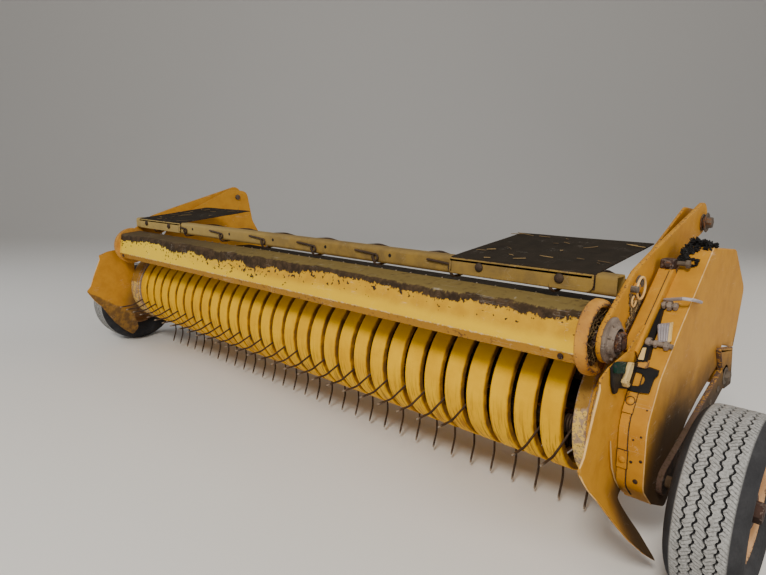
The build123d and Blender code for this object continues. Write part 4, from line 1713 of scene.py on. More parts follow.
        bolts = Shape()
        bolts.tube([(ARM_OUT - 1, -605, 254), (ARM_OUT + 14, -605, 254)], 7.0, 14, 0.4)
        bolts.tube([(ARM_OUT - 1, -599, 239), (ARM_OUT + 8, -599, 239)], 3.0, 8, 0.4)
        bolts.bolt(outward(ARM_OUT + 10, PIVOT_Y, PIVOT_Z), 27)
        bolts.bolt(outward(ARM_OUT, CUP_Y + 126, CUP_Z + 100), 17)
        bolts.turned([(12.4, 0.2), (21, 0.2), (21.5, 2), (21, 3.8), (12.4, 3.8)],
                     outward(ARM_OUT, PIVOT_Y, PIVOT_Z), 28, 0.5, hollow=True)
        bolts.end_trim(side, "arm_bolts", ZINC, Body.GUARD)

    def build(self) -> None:
        """Makes the sheet and both ends."""
        self.build_sheet()
        for side in Side:
            self.build_cup(side)
            self.build_chaff(side)
            self.build_clamp(side)
            self.build_arm(side)


def stalk(shape: Shape, middle: Vector, dice: random.Random, length: float, radius: float,
          flat: Sequence[float] = (1, 1, 0.15), darkest: float = 0.85) -> None:
    """Adds one bent straw.

    Args:
        shape: the shape that it goes into.
        middle: where its middle is.
        dice: the seeded source of its direction and bend.
        length: how long it is.
        radius: how thick it is.
        flat: how freely it turns along each axis.
        darkest: the highest tone that it may have.
    """
    way = Vector([dice.uniform(-1, 1) * f for f in flat]).normalized() * length / 2
    bow = Vector([dice.uniform(-1, 1) * f for f in flat]) * length * 0.08
    shape.tube([middle - way, middle - way * 0.3 + bow, middle + way * 0.4 + bow, middle + way],
               [radius, radius, radius * 0.9, radius * 0.6], 4, 0,
               darkest * (1 - dice.random() ** 2 * 0.9))


@dataclass
class Crossbar:
    """The guard's crossbar with its guide plates, hooks and hold-down rods."""

    size: float = 44.0
    plate: float = 364.0
    outer: float = 1042.0
    deep: float = 330.0
    rise: float = 40.0
    lip: float = 34.0
    rod: float = 5.0
    pitch: float = 264.0
    shift: float = 24.0
    rods: int = 8
    curl: int = 14

    @property
    def front(self) -> float:
        """The Y place of the bar's front face."""
        return BAR_Y - self.size / 2

    @property
    def top(self) -> float:
        """The height of the bar's upper face."""
        return BAR_Z + self.size / 2

    @property
    def inner(self) -> float:
        """The X place of a guide plate's inner end, on the left."""
        return self.outer - self.plate

    def build(self) -> None:
        """Dresses the bar and makes everything on it."""
        dress(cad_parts["crossbar"], BAR_YELLOW)
        for side in Side:
            self.build_plate(side)
            self.build_cover(side)
            self.build_straw(side)
        self.build_rods()

    def build_plate(self, side: Side) -> None:
        """Makes one folded guide plate.

        Args:
            side: the end.
        """
        line = rounded([(self.front - 3, self.top - self.lip), (self.front - 3, self.top + 0.5),
                        (self.front + self.deep, self.top + self.rise)], 7.0, 5, closed=False)

        def sway(x: float, run: float) -> float:
            return -0.4 - abs(noise.noise(Vector((x / 160, run / 110, side.value)))) * 1.6

        shape = Shape()
        shape.folded(finer(line, 24.0), -2.6, evenly(self.inner, self.outer, 20.0), sway)
        shape.end_piece(side, "guide_plate", "folded", DUST_AND_SHADE, Body.GUARD)

    def build_cover(self, side: Side) -> None:
        """Makes the strip over a guide plate's lip, with its bolts.

        Args:
            side: the end.
        """
        over, x0, x1 = Shape(), self.inner - 2, self.outer - 2
        low, high = self.top - self.size + 4, self.top - 2
        face = Matrix(((1, 0, 0, 0), (0, 0, -1, self.front - 3.2), (0, 1, 0, 0), (0, 0, 0, 1)))
        over.plate(rounded([(x0, high), (x0, low), (x1, low), (x1, high)], (3, 5, 22, 3), 5),
                   0.0, 4.0, 1.0, 8.0, place=face)
        over.end_trim(side, "crossbar_cover", BAR_YELLOW, Body.GUARD)
        bolts = Shape()
        for x in (764.0, 966.0):
            bolts.dome(frame_at((x, self.front - 7.0, BAR_Z + 4), (0, -1, 0)), 11.0, 6.0)
        bolts.end_trim(side, "crossbar_bolts", DARK_STEEL_AND_SHADE, Body.GUARD)

    def build_straw(self, side: Side) -> None:
        """Strews straws on one guide plate.

        Args:
            side: the end.
        """
        straws, dice = Shape(), random.Random(31 + side.value)
        for _ in range(20):
            x, run = dice.uniform(self.inner + 8, self.outer - 12), dice.uniform(14, self.deep - 20)
            at = Vector((x, self.front + run, self.top + self.rise * run / self.deep + 3.2))
            stalk(straws, at, dice, dice.uniform(15, 60), 0.9, (1, 1, 0.06))
        straws.end_trim(side, "plate_straw", STRAW, Body.GUARD)

    def build_rods(self) -> None:
        """Makes the hold-down rods and the hooks that hold them under the bar."""
        back = BAR_Y + self.size / 2
        line = rounded([(back - 2, BAR_Z - 7), (back + 250, BAR_Z - 15), (back + 420, BAR_Z - 67)],
                       120.0, 8, closed=False)
        shape, hooks, holes = Shape(), Shape(), Shape()
        for n in range(self.rods):
            x = self.shift + self.pitch * (n - (self.rods - 1) / 2)
            shape.tube([(x, y, z) for y, z in line], self.rod, 10, 0.2)
            self.hook(hooks, x)
            # Small dark discs on the bar's face: painted shade in the rod holes.
            holes.turned([(5.2, 0.2), (4.8, 0.8)],
                         frame_at((x + 52, self.front, BAR_Z + 3), (0, -1, 0)), 16)
        shape.piece("guard_rods_sprung", SPRING, Body.GUARD, ["guard_rods"], 60.0)
        hooks.piece("rod_hooks", SPRING, Body.GUARD, sharp=60.0)
        holes.piece("bar_hole_shade", GREASE_AND_SHADE, Body.GUARD)

    def hook(self, shape: Shape, x: float) -> None:
        """One rod's front end: its tail along the bar, a curl, and the turn under the bar.

        Args:
            shape: the shape that it goes into.
            x: the rod's X place.
        """
        face, low = self.front - 3.4, BAR_Z - self.size / 2
        curl = [(x + 10 * math.cos(a), face - 0.5 * n / self.curl, BAR_Z - 7 + 9 * math.sin(a))
                for n, a in enumerate(math.radians(110 - 25 * n) for n in range(self.curl))]
        line = [(x - 80, face, BAR_Z + 7), (x - 45, face, BAR_Z + 5), (x - 14, face, BAR_Z + 2.5),
                *curl, (x - 3, face - 1, low + 2), (x + 3, face + 3, low - 4),
                (x + 6, face + 22, low - 4), (x + 4, face + 44, low - 2)]
        shape.tube(line, 3.2, 7)


@dataclass
class SideEnd:
    """One end's sheet with its bearing, divider, front band and wheel arm."""

    side: Side

    def build(self) -> None:
        """Makes the end's pieces."""
        self.build_sheet()
        self.build_divider()
        self.build_flange()
        self.build_wheel_arm()

    def build_sheet(self) -> None:
        """The end sheet with its bearing, bolts and welds."""
        front = [polar(165.0, a) for a in (-90, -75, -60, -45, -30, -15, 0, 15, 28)]
        corners = [*front, (-612, 92), (-570, 170), (-500, 262), (-380, 325), (-190, 410),
                   (-90, 400), (-60, 250), (54, 60), (54, -30), (12, -62), (-205, -205)]
        radii = [1.0] * 8 + [4, 30, 30, 40, 60, 40, 40, 60, 40, 30, 30, 20]
        sheet = Shape()
        sheet.plate(rounded(corners, radii, 4), SHEET_IN, SHEET_OUT, 1.2, 10.0,
                    [circle(REEL_Y, REEL_Z, 25.5), circle(0, 0, 42), circle(PIVOT_Y, PIVOT_Z, 12)])
        sheet.end_piece(self.side, "end_sheet", "cut", YELLOW, Body.FRAME)
        bearing = Shape()
        square = rounded(rectangle(REEL_Y - 48, REEL_Z - 48, REEL_Y + 48, REEL_Z + 48), 12.0, 4)
        bearing.plate(square, SHEET_OUT, SHEET_OUT + 8, 2.0, 7.0, [circle(REEL_Y, REEL_Z, 17.6)])
        bearing.turned([(17.6, 8), (37, 8), (36, 12), (33, 18), (29, 22), (22, 22), (21, 20),
                        (17.6, 20)], outward(SHEET_OUT, REEL_Y, REEL_Z), 36,
                       (0, 0.2, 0.5, 0.8, 1, 0.6, 0.3, 0.3), hollow=True)
        bearing.end_piece(self.side, "reel_bearing", "cast", CAST, Body.FRAME)
        bolts = Shape()
        for y in (-36, 36):
            for z in (-36, 36):
                bolts.bolt(outward(SHEET_OUT + 8, REEL_Y + y, REEL_Z + z), 15, 0.7)
        for y, z in ((-120, 330), (-300, 300), (-430, 250), (-90, 130), (-20, 92), (-160, -170)):
            bolts.bolt(outward(SHEET_OUT, y, z), 17)
        bolts.end_trim(self.side, "sheet_bolts", ZINC, Body.FRAME)
        weld = Shape()
        for x in (SHEET_IN - 1, SHEET_OUT + 1):
            weld.weld([(x, *p) for p in [*circle(0, 0, 44, 40), (44, 0)]], 3.5, 5)
        weld.end_trim(self.side, "hinge_weld", YELLOW, Body.FRAME)

    @staticmethod
    def flare(y: float, z: float) -> float:
        """How far the divider stands out at a place: the foot's bend and a slight wave.

        Args:
            y: the place's Y.
            z: its height.

        Returns:
            The way outwards in millimetres.
        """
        below, along, start = 1e9, 0.0, 0.0
        for (y0, z0), (y1, z1) in zip(SKID_BEND, SKID_BEND[1:]):
            long = math.dist((y0, z0), (y1, z1))
            v, w = (y1 - y0) / long, (z1 - z0) / long
            depth = (y - y0) * w - (z - z0) * v
            if depth < below:
                below, along = depth, start + (y - y0) * v + (z - z0) * w
            start += long
        below = max(0.0, below)
        out = below * below / (below + 12.0) * (0.45 + 0.0018 * max(along, 0.0))
        return min(out, 80.0) + noise.noise(Vector((y / 120, z / 120, 3.3))) * 1.2 - 1.2

    def build_divider(self) -> None:
        """The divider plate, whose foot is bent outwards into a skid."""
        corners = [(-664, 142), (-700, 147), (-781, 135), (-818, 121), (-815, 103), (-841, 43),
                   (-861, -13), (-880, -34), (-848, -80), (-817, -112), (-782, -160), (-745, -208),
                   (-702, -250), (-656, -285), (-646, -242), (-682, -162), (-664, -150)]
        radii = (4, 20, 20, 6, 20, 20, 20, 9, 30, 40, 40, 40, 40, 9, 30, 12, 4)
        plate = Shape()
        plate.pressed(rounded(corners, radii, 5), CASE_IN, -4.0, self.flare)
        plate.end_piece(self.side, "divider", "cut", YELLOW if self.side is Side.LEFT else FOOT,
                        Body.FRAME)
        # A pale tube along the divider's leading edge: a painted highlight on the lit edge.
        edge = Shape()
        line = [(-816.5, 112), (-815.5, 101), (-828, 73), (-840.5, 43), (-851, 15), (-861, -13),
                (-874, -29), (-873, -42), (-861, -61), (-848, -79), (-832, -97), (-816, -112)]
        edge.tube([(CASE_IN - 1.6 + self.flare(y, z), y, z) for y, z in line],
                  [1.0, 2.0, 2.2, 2.2, 2.2, 2.0, 1.7, 1.6, 1.5, 1.4, 1.2, 0.8], 8, 0.1)
        edge.end_trim(self.side, "divider_edge", PALE_PAINT_AND_HIGHLIGHT, Body.FRAME)

    def build_flange(self) -> None:
        """The worn curved plate between the end sheet and the divider."""
        shape = Shape()
        line = [(REEL_Y, REEL_Z, -math.cos(a), math.sin(a))
                for a in map(math.radians, evenly(-90.0, 90.0, 6.0))]
        StripperBands(fold=8.0, edge=4.0).band(shape, SHEET_OUT, DIVIDER_IN, line)
        shape.end_piece(self.side, "front_band", "worn", FLANGE, Body.FRAME)

    def build_wheel_arm(self) -> None:
        """The bar of this end's gauge wheel with its spindle and bolts."""
        arm, face = Shape(), CASE_OUT + 12
        for outline in (strap([(-190, -8, 30.0), (WHEEL_Y, WHEEL_Z, 30.0)], 10),
                        rounded([(-266, 78), (-139, 57), (-108, -50), (-180, -46)], 6.0, 3)):
            arm.plate(outline, CASE_OUT, face, 1.6, 9.0)
        arm.turned([(12.5, 0), (12.5, 156), (11, 158)], outward(face, WHEEL_Y, WHEEL_Z), 24,
                   (0, 0.6, 1))
        arm.end_piece(self.side, "wheel_arm", "cut", ARM_SHADE_AND_MUD, Body.FRAME)
        bolts = Shape()
        bolts.bolt(outward(face, -190, -8), 24)
        for n in (1, 2, 3):
            bolts.turned([(4, 0.2), (8, 0.2), (8, 2.0), (4, 2.0)],
                         outward(face, -190 - 60 * n, -8 - 19.3 * n), 16, 0.5, hollow=True)
        bolts.end_trim(self.side, "wheel_arm_bolts", ZINC, Body.FRAME)


@dataclass
class ChainCase:
    """The left end's drive cover with its post and trim.

    The seam's X place and its two ends' heights, and the low and high edge of each tab.
    """

    seam: float = 1151.0
    low: float = -160.0
    high: float = 100.0
    tabs: tuple[Flat, Flat] = ((30.0, 66.0), (-84.0, -47.0))

    def build(self) -> None:
        """Makes the cover and what is on it."""
        outline = rounded([c[:2] for c in CASE_CORNERS], [c[2] for c in CASE_CORNERS], 6)
        loop = outline if area(outline) > 0 else outline[::-1]
        # How far in from the edge, the X place and the wear of each ring, outside and inside
        outer = [(3.0, CASE_IN, 0.6), (0.0, CASE_IN, 0.8), (0.0, CASE_IN + 10, 0.2),
                 (0.0, CASE_OUT - 12, 0.1), (0.0, CASE_OUT - 3.5, 0.3), (0.6, CASE_OUT - 1.6, 0.5),
                 (1.8, CASE_OUT - 0.5, 0.5), (3.6, CASE_OUT, 0.3), (14.0, CASE_OUT, 0.0)]
        inner = [(3.0, CASE_IN, 0.2), (3.0, CASE_OUT - 5, 0.2), (6.0, CASE_OUT - 3, 0.2)]
        shape = Shape()
        faces: list[tuple[int, ...]] = []
        for levels in (outer, inner):
            rings = [[(x, y, z) for y, z in inset(loop, distance)] for distance, x, _ in levels]
            shape.rings(rings, [worn for *_, worn in levels], ends=False)
            lid = [Vector(p) for p in rings[-1]]
            faces = faces or [tuple(t) for t in tessellate_polygon([lid])]
            shape.add(lid, faces)
        weld_close(shape)
        shape.piece("chain_case_pressed", YELLOW, Body.FRAME, ["chain_case"])
        self.build_post()
        self.build_trim()

    def build_post(self) -> None:
        """The channel that slants up beside the guard's arm."""
        x0, x1 = ARM_OUT + 8, CASE_IN
        start, end = Vector((-636, 118)), Vector((-452, 270))
        along = (end - start).normalized()
        left = Vector((-along.y, along.x))
        profile = rounded([(0, 28), (0, 0), (31, 0), (31, 28), (28, 28), (28, 3), (3, 3), (3, 28)],
                          (1, 4, 4, 1, 1, 2, 2, 1), 3)
        rings = []
        for t in evenly(0.0, 1.0, 0.1):
            at = start.lerp(end, t)
            ring = []
            for across, depth in profile:
                place = at + left * (28 - depth)
                ring.append((x0 + across * (x1 - x0) / 31, place.x, place.y))
            rings.append(ring)
        shape = Shape()
        shape.rings(rings, [1, 0.6] + [0.35] * (len(rings) - 4) + [0.6, 1])
        shape.piece("side_post_channel", YELLOW, Body.FRAME, ["side_post"])
        foot = Shape()
        foot.plate(rounded([(-602, 186), (-668, 156), (-702, 131), (-700, 120), (-648, 111),
                            (-590, 128)], 6.0, 3), 1125.0, 1129.0, 1.0, 5.0)
        foot.piece("side_post_foot", YELLOW, Body.FRAME)
        # A dark line along the post's face: painted shade in its fold.
        fold = Shape()
        fold.tube([(x1 - 7.0, *(start.lerp(end, t) + left * 28.2)) for t in (0.06, 0.5, 0.94)],
                  0.9, 6)
        fold.piece("side_post_fold_shade", DARK_STEEL_AND_SHADE, Body.FRAME)

    def build_trim(self) -> None:
        """A painted highlight along the cover's front edge, its lapped seam with painted shade, and
        the tabs and bolts on its front.
        """
        # A pale tube along the case's front edge: a painted highlight.
        bead = Shape()
        bead.tube([(CASE_OUT - 1.0, y + 0.6, z) for y, z in CASE_FRONT], 1.2, 6, 0.2)
        bead.piece("case_edge_highlight", PALE_PAINT_AND_HIGHLIGHT, Body.FRAME)
        lap, seam, bolts, marks = Shape(), Shape(), Shape(), Shape()
        drape(lap, rectangle(CASE_IN + 0.4, self.low, self.seam, self.high), 2.4, 3.4)
        # A dark strip along the lap's edge: the joint line with painted shade in its step.
        drape(seam, rectangle(self.seam - 0.3, self.low, self.seam + 2.0, self.high), 0.7, 1.5)
        for low, high in self.tabs:
            drape(lap, rectangle(CASE_IN + 1, low, self.seam + 2.6, high), 5.4, 4.0)
            # Dark plates just wider than the tabs, and dark rings round their bolts: painted shadow
            # under them.
            drape(seam, rectangle(CASE_IN + 0.6, low - 2, self.seam + 3.4, high + 2), 3.0, 2.0)
            middle = (low + high) / 2
            at = front_place(CASE_IN + 10.5, middle, 5.4)
            bolts.dome(at, 7.6, 4.0)
            seam.turned([(7.8, 0.1), (9.4, 0.1), (9.4, 0.8), (7.8, 0.8)], at, 24, hollow=True)
        # Small dark discs on the case's front: flush bolt heads and rust dots, and painted shade in
        # a hole.
        for x, z, radius in ((1160.0, -68.5, 3.0), (1178.0, -61.5, 3.2), (1170.0, -108.0, 5.0),
                             (1162.0, -20.0, 2.0), (1176.0, -10.0, 2.2), (1177.0, 40.0, 1.8)):
            marks.dome(front_place(x, z, -0.4), radius, 0.8)
        lap.piece("case_lap", YELLOW, Body.FRAME)
        seam.piece("case_seam_shade", DARK_STEEL_AND_SHADE, Body.FRAME)
        bolts.piece("case_bolts", YELLOW, Body.FRAME)
        marks.piece("case_marks_and_hole_shade", DARK_STEEL_AND_SHADE, Body.FRAME)
        straw = Shape()
        straw.tube([(CASE_IN + 2, -755, -16), (CASE_IN + 3, -749, -47), (CASE_IN + 2.5, -738, -76),
                    (CASE_IN + 2, -715, -110), (CASE_IN + 2, -689, -138)],
                   [1.2, 1.8, 1.8, 1.6, 0.8], 5, 0.0, 0.0)
        straw.piece("case_straw", STRAW, Body.FRAME)


def front_place(x: float, z: float, off: float) -> Matrix:
    """A place on the chain case's front face, facing away from it."""
    slope = Vector((0.0, case_front(z + 4) - case_front(z - 4), 8.0)).normalized()
    out = Vector((0.0, -slope.z, slope.y))
    return frame_at(Vector((x, case_front(z), z)) + out * off, out)


def on_front(x: float, z: float, off: float) -> Vector:
    """The place straight ahead of the chain case's front face at a height."""
    return Vector((x, case_front(z) - off * 1.3, z))


def drape(shape: Shape, outline: Sequence[Flat], off: float, thick: float,
          pitch: float = 12.0) -> None:
    """Lays a plate on the chain case's front face.

    Args:
        shape: the shape that it goes into.
        outline: its corners, as X and Z.
        off: how far its outer face stands off the case.
        thick: how thick it is.
        pitch: how far apart its inner points are.
    """
    shape.pressed(outline, 0.0, thick * 1.3, lambda x, z: on_front(x, z, off).y, pitch, 4.0,
                  FRONT_VIEW)


@dataclass
class SideLatch:
    """The cover's latch in the corner between the divider and the case, and what is above it."""

    pipe: float = 5.0

    def build(self) -> None:
        """Makes the latch and the fittings."""
        self.build_bracket()
        self.build_catch()
        self.build_fittings()
        self.build_post_bolt()
        self.build_grease()

    def build_bracket(self) -> None:
        """The dark bracket: a leaf with a D shaped window, a leaf on the divider and a lever."""
        shape = Shape()
        window = [(1136, 75.5), (1150, 77.5), (1158, 83), (1160.5, 91), (1157, 97), (1149, 100.5),
                  (1136, 101)]
        drape(shape, [(1134.5, 68), (1156, 68.5), (1173, 70.5), (1175, 96), (1179, 101),
                      (1177.5, 109), (1160, 111), (1134.5, 109), *window[::-1]], 6.0, 7.0, 8.0)
        side = [(-786, 138), (-770, 144), (-708, 131), (-650, 116), (-664, 68), (-690, 72),
                (-746, 88), (-751, 80), (-764, 81), (-776, 100)]
        shape.plate(rounded(side, 3.0, 2), CASE_IN, CASE_IN + 5, 1.0, 4.0)
        drape(shape, [(1134.5, 119), (1154, 123), (1150, 145), (1136, 149), (1134.5, 146)], 15.0,
              17.0, 8.0)
        drape(shape, [(1136, 156), (1148, 156), (1146, 184), (1141, 210), (1136, 210)], 11.0,
              12.0, 8.0)
        shape.piece("latch_bracket_bent", GREASE_AND_SHADE, Body.FRAME, slot="dark_steel")
        green = Shape()
        green.plate(rounded([(-786, 143), (-772, 147), (-740, 140), (-738, 117), (-782, 127)],
                            3.0, 2), CASE_IN + 5, CASE_IN + 12, 1.2, 4.0)
        green.piece("latch_block", GREEN, Body.FRAME)

    def build_catch(self) -> None:
        """The pale hook over the bracket, the pale cap above it and the block that links them."""
        shape = Shape()
        shape.plate(rounded([(-714, 133), (-697, 129), (-703, 112), (-718, 90), (-729, 92),
                             (-738, 104)], 3.0, 3), CASE_IN + 5, CASE_IN + 13, 1.8, 4.0)
        shape.plate(rounded([(-716, 90), (-730, 88), (-741, 99), (-739, 107)], 3.0, 3), CASE_IN + 5,
                    CASE_IN + 17, 1.8, 4.0)
        drape(shape, [(1137, 124), (1147, 124.5), (1143, 144), (1137, 143)], 17.5, 6.0, 8.0)
        shape.piece("latch_catch", CREAM, Body.FRAME)
        link = Shape()
        drape(link, [(1138, 110), (1157, 111), (1153, 122), (1136, 121)], 11.0, 12.0, 8.0)
        link.piece("latch_link", ORANGE, Body.FRAME)

    def build_fittings(self) -> None:
        """The plated block and the small pipes with their nuts on the case's front."""
        block = Shape()
        drape(block, [(1145, 183), (1167, 188.5), (1177, 158.5), (1158, 156)], 12.0, 14.0, 8.0)
        for n in range(4):
            t = (n + 0.5) / 4
            block.tube([on_front(1145 + 21 * t, 183.5 + 4 * t, 12.5),
                        on_front(1151 + 19 * t, 170.5 + 4 * t, 12.5),
                        on_front(1158 + 17 * t, 157.5 + 1.5 * t, 12.5)], 1.9, 6, 0.4)
        rod = [Vector(p) for p in ((1136, -522, 226), (1150, -533, 230), (1178, -548, 238),
                                   (1190, -540, 237), (1192.5, -510, 231), (1192, -466, 221))]
        block.tube(rod, 3.6, 8, 0.3)
        block.piece("fitting_block", PLATED, Body.FRAME)
        cream = Shape()
        drape(cream, [(1166, 190), (1170, 191), (1180, 160), (1176, 158)], 14.0, 6.0, 8.0)
        cream.piece("fitting_edge", CREAM, Body.FRAME)
        pipes = Shape()
        for z, ends, nuts in ((151.0, (1135.0, 1187.0), ((1138, 19), (1152, 14), (1172, 17))),
                              (217.0, (1135.0, 1167.0), ((1138, 15), (1148, 19), (1160, 15)))):
            y, height = on_front(0.0, z, 9.0).yz
            pipes.tube([(ends[0], y, height), ((ends[0] + ends[1]) / 2, y + 0.6, height + 1),
                        (ends[1], y, height)], self.pipe, 10, 0.3)
            for x, across in nuts:
                pipes.bolt(frame_at((x, y, height), (1, 0, 0)), across, 0.0)
            for x in (ends[0] + 8.0, ends[1] - 8.0):
                pipes.tube([on_front(x, z - 4, -1.0), (x, y, height)], 5.0, 8, 0.3)
        pipes.piece("fitting_pipes", CAST, Body.FRAME)

    def build_post_bolt(self) -> None:
        """The bolt on the side post's upper end and the pin beside it."""
        bolt = Shape()
        bolt.plate(rounded(rectangle(-480, 284, -448, 307), 6.0, 3), 1106.0, 1134.0, 3.0, 5.0)
        bolt.bolt(frame_at((1122, -479, 296), (0.3, -0.9, 0.3)), 15, 0.0)
        bolt.piece("post_bolt", RUSTY, Body.FRAME)
        pin = Shape()
        pin.tube([(1122, -452, 297), (1158, -452, 297)], 5.5, 12, 0.3)
        pin.bolt(frame_at((1152, -452, 297), (1, 0, 0)), 17, 0.0)
        pin.piece("post_pin", ZINC, Body.FRAME)

    def build_grease(self) -> None:
        """Greasy hay heaped along the case's upper end, and dark straws between arm and post that
        are straw and painted shade of the gap.
        """
        dice = random.Random(77)
        shape = Shape()
        heap = [(1126, 300), (1127, 322), (1131, 336), (1139, 347), (1162, 343), (1179, 339),
                (1187, 336), (1182, 327), (1159, 327), (1156, 321), (1144, 314), (1141, 300)]
        for at in self.strewn(heap, 330, dice):
            rise = dice.uniform(0.5, 5.0)
            y = case_front(min(at[1], 328.0)) - rise
            if at[1] > 328:
                y = dice.uniform(-384.0, -360.0)
            stalk(shape, Vector((at[0], y, at[1])), dice, dice.uniform(8, 16),
                  dice.uniform(1.2, 2.6), (1, 0.7, 0.9))
        for _ in range(70):
            turn, reach = dice.uniform(0, math.tau), dice.uniform(7, 12)
            stalk(shape, on_front(1157 + reach * math.cos(turn), 299 + 0.7 * reach * math.sin(turn),
                                  dice.uniform(2, 6)), dice, dice.uniform(5, 10), 1.5)
        shape.piece("greasy_hay", GREASE_AND_SHADE, Body.FRAME)
        # Dark straws over the arm where the gap between arm and post lies in shade: straw, and
        # painted shade.
        caught = Shape()
        wedge = [(-612, 250), (-613, 238), (-601, 200), (-622, 182), (-611, 174), (-563, 203),
                 (-541, 228), (-549, 240), (-575, 225), (-597, 222)]
        for y, z in self.strewn(wedge, 210, dice):
            stalk(caught, Vector((ARM_OUT + dice.uniform(0.6, 3.4), y, z)), dice,
                  dice.uniform(9, 20), dice.uniform(0.6, 1.2), (0.12, 1, 0.8), 1.0)
        caught.piece("arm_straw_and_shade", STRAW, Body.GUARD)

    @staticmethod
    def strewn(outline: Sequence[Flat], count: int, dice: random.Random) -> list[Flat]:
        """Seeded places inside an outline.

        Args:
            outline: the outline's corners.
            count: how many places.
            dice: their seeded source.

        Returns:
            The places.
        """
        wide = [min(p[0] for p in outline), max(p[0] for p in outline)]
        high = [min(p[1] for p in outline), max(p[1] for p in outline)]
        found: list[Flat] = []
        while len(found) < count:
            at = (dice.uniform(*wide), dice.uniform(*high))
            if inside(at, outline):
                found.append(at)
        return found


def weld_close(shape: Shape) -> None:
    """Joins the vertices of a shape that share a place, to a twentieth of a millimetre.

    Args:
        shape: the shape.
    """
    seen: dict[tuple[int, int, int], int] = {}
    index = []
    points, wear, tone = [], [], []
    for point, worn, value in zip(shape.points, shape.wear, shape.tone):
        key = tuple(round(c * 20) for c in point)
        if key not in seen:
            seen[key] = len(points)
            points.append(point)
            wear.append(worn)
            tone.append(value)
        index.append(seen[key])
    shape.points, shape.wear, shape.tone = points, wear, tone
    faces = [tuple(index[i] for i in face) for face in shape.faces]
    shape.faces = [face for face in faces if len(set(face)) == len(face)]


@dataclass
class GaugeWheel:
    """One gauge wheel: a ribbed tyre on a dished rim with its hub and nut."""

    side: Side
    y: float = WHEEL_Y
    z: float = WHEEL_Z
    middle: float = WHEEL_X
    radius: float = 184.0
    rim: float = 104.0
    waves: int = 58
    groove: float = 4.6
    swing: float = 2.4

    def tyre(self) -> Shape:
        """The tyre with its zig-zag grooves.

        Returns:
            The tyre's shape.
        """
        top = self.radius
        wall = [(104.0, -47.0), (106.0, -53.0), (112.0, -58.0), (122.0, -62.0), (136.0, -64.6),
                (150.0, -65.0), (162.0, -62.5), (171.0, -57.5), (177.5, -51.5), (181.0, -47.0)]
        # The radius, the X place, how far it follows the zig-zag, and the tread and groove masks
        line: list[tuple[float, ...]] = [(r, x, 0.0, 0.0, 0.0) for r, x in wall]
        line.append((top - 1.6, -43.5, 0.0, 1.0, 0.0))
        half = self.groove / 2
        for x in (-29.0, -10.0, 10.0, 29.0):
            line += [(top - 0.6, x - half, 1.0, 1.0, 0.0),
                     (top - 7.5, x - half * 0.6, 1.0, 0.3, 1.0),
                     (top - 7.5, x + half * 0.6, 1.0, 0.3, 1.0),
                     (top - 0.6, x + half, 1.0, 1.0, 0.0)]
            if x < 29:
                line.append((top, x + 9.7, 0.0, 1.0, 0.0))
        line.append((top - 1.6, 43.5, 0.0, 1.0, 0.0))
        line += [(r, -x, 0.0, 0.0, 0.0) for r, x in wall[::-1]]
        line += [(107.0, 41.0, 0.0, 0.0, 0.0), (107.0, -41.0, 0.0, 0.0, 0.0)]
        count = self.waves * 4
        rings = []
        for k in range(count):
            turn = math.tau * k / count
            swing = (1.0, 0.8, -1.0, -0.8)[k % 4] * self.swing
            rings.append([(self.middle + x + swing * moves, self.y + r * math.cos(turn),
                           self.z + r * math.sin(turn)) for r, x, moves, _, _ in line])
        shape = Shape()
        shape.rings(rings, [tread for _, _, _, tread, _ in line] * count,
                    [deep for *_, deep in line] * count, loop=True)
        return shape

    def build(self) -> None:
        """Makes the tyre, the rim with its hub, and the nut on the spindle."""
        self.tyre().end_piece(self.side, "tyre", "treaded", RUBBER, self.side.wheel, 35.0)
        rim = Shape()
        axis = outward(self.middle, self.y, self.z)
        r = self.rim
        well = [(r, -47), (r + 2.5, -49), (r + 4, -47), (r + 2, -43.5), (r - 1, -41), (r - 1, 41),
                (r + 2, 43.5), (r + 4, 47), (r + 2.5, 49.5), (r - 1, 48.5), (r - 5, 43),
                (r - 6, 30), (r - 12, 14), (r - 24, 7), (r - 44, 5), (34, 6), (34, 2), (r - 44, 1),
                (r - 24, 2), (r - 10, 6), (r - 5, -10), (r - 5, -41)]
        rim.turned(well, axis, 64, (0.5, 0.8, 0.8, 0.3, 0, 0, 0.3, 0.9, 1, 0.9, 0.3, 0.1, 0.3, 0.5,
                                    0.1, 0, 0, 0, 0, 0, 0, 0.3), hollow=True)
        rim.turned([(12.6, -40), (31, -40), (32, -38), (32, 40), (30.5, 44), (26, 46), (12.6, 46)],
                   axis, 36, (0.3, 1, 1, 0.3, 0.9, 1, 0.5), hollow=True)
        rim.end_piece(self.side, "rim", "pressed", RIM_PAINT, self.side.wheel)
        nut = Shape()
        nut.bolt(outward(self.middle + 46.3, self.y, self.z), 36.0)
        nut.end_trim(self.side, "wheel_nut", RUSTY, Body.FRAME)


def dress(node: bpy.types.Object, finish: Finish) -> None:
    """Gives a node of the frame its finish.

    Args:
        node: the node's object.
        finish: the finish.
    """
    if node.data.materials:
        for slot in node.material_slots:
            slot.material = finish.material()
    else:
        node.data.materials.append(finish.material())


@dataclass
class FrameSolids:
    """The nodes that keep their own shape and take a finish."""

    def build(self) -> None:
        """Dresses each node."""
        groups = ((YELLOW, ("top_rail", "bottom_rail", "main_beam", "wheel_bracket")),
                  (DUST_AND_SHADE, ("feed_deck", "back_sheet")), (RUSTY, ("hinge_boss",)),
                  (DARK_STEEL_AND_SHADE, ("reel_shaft", "reel_discs", "tine_bars")), (ZINC, ("guard_pin",)))
        for finish, names in groups:
            for name in names:
                for node in (name, name + "_left", name + "_right"):
                    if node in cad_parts:
                        dress(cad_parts[node], finish)
        logging.info("dressed the nodes that keep their shape")


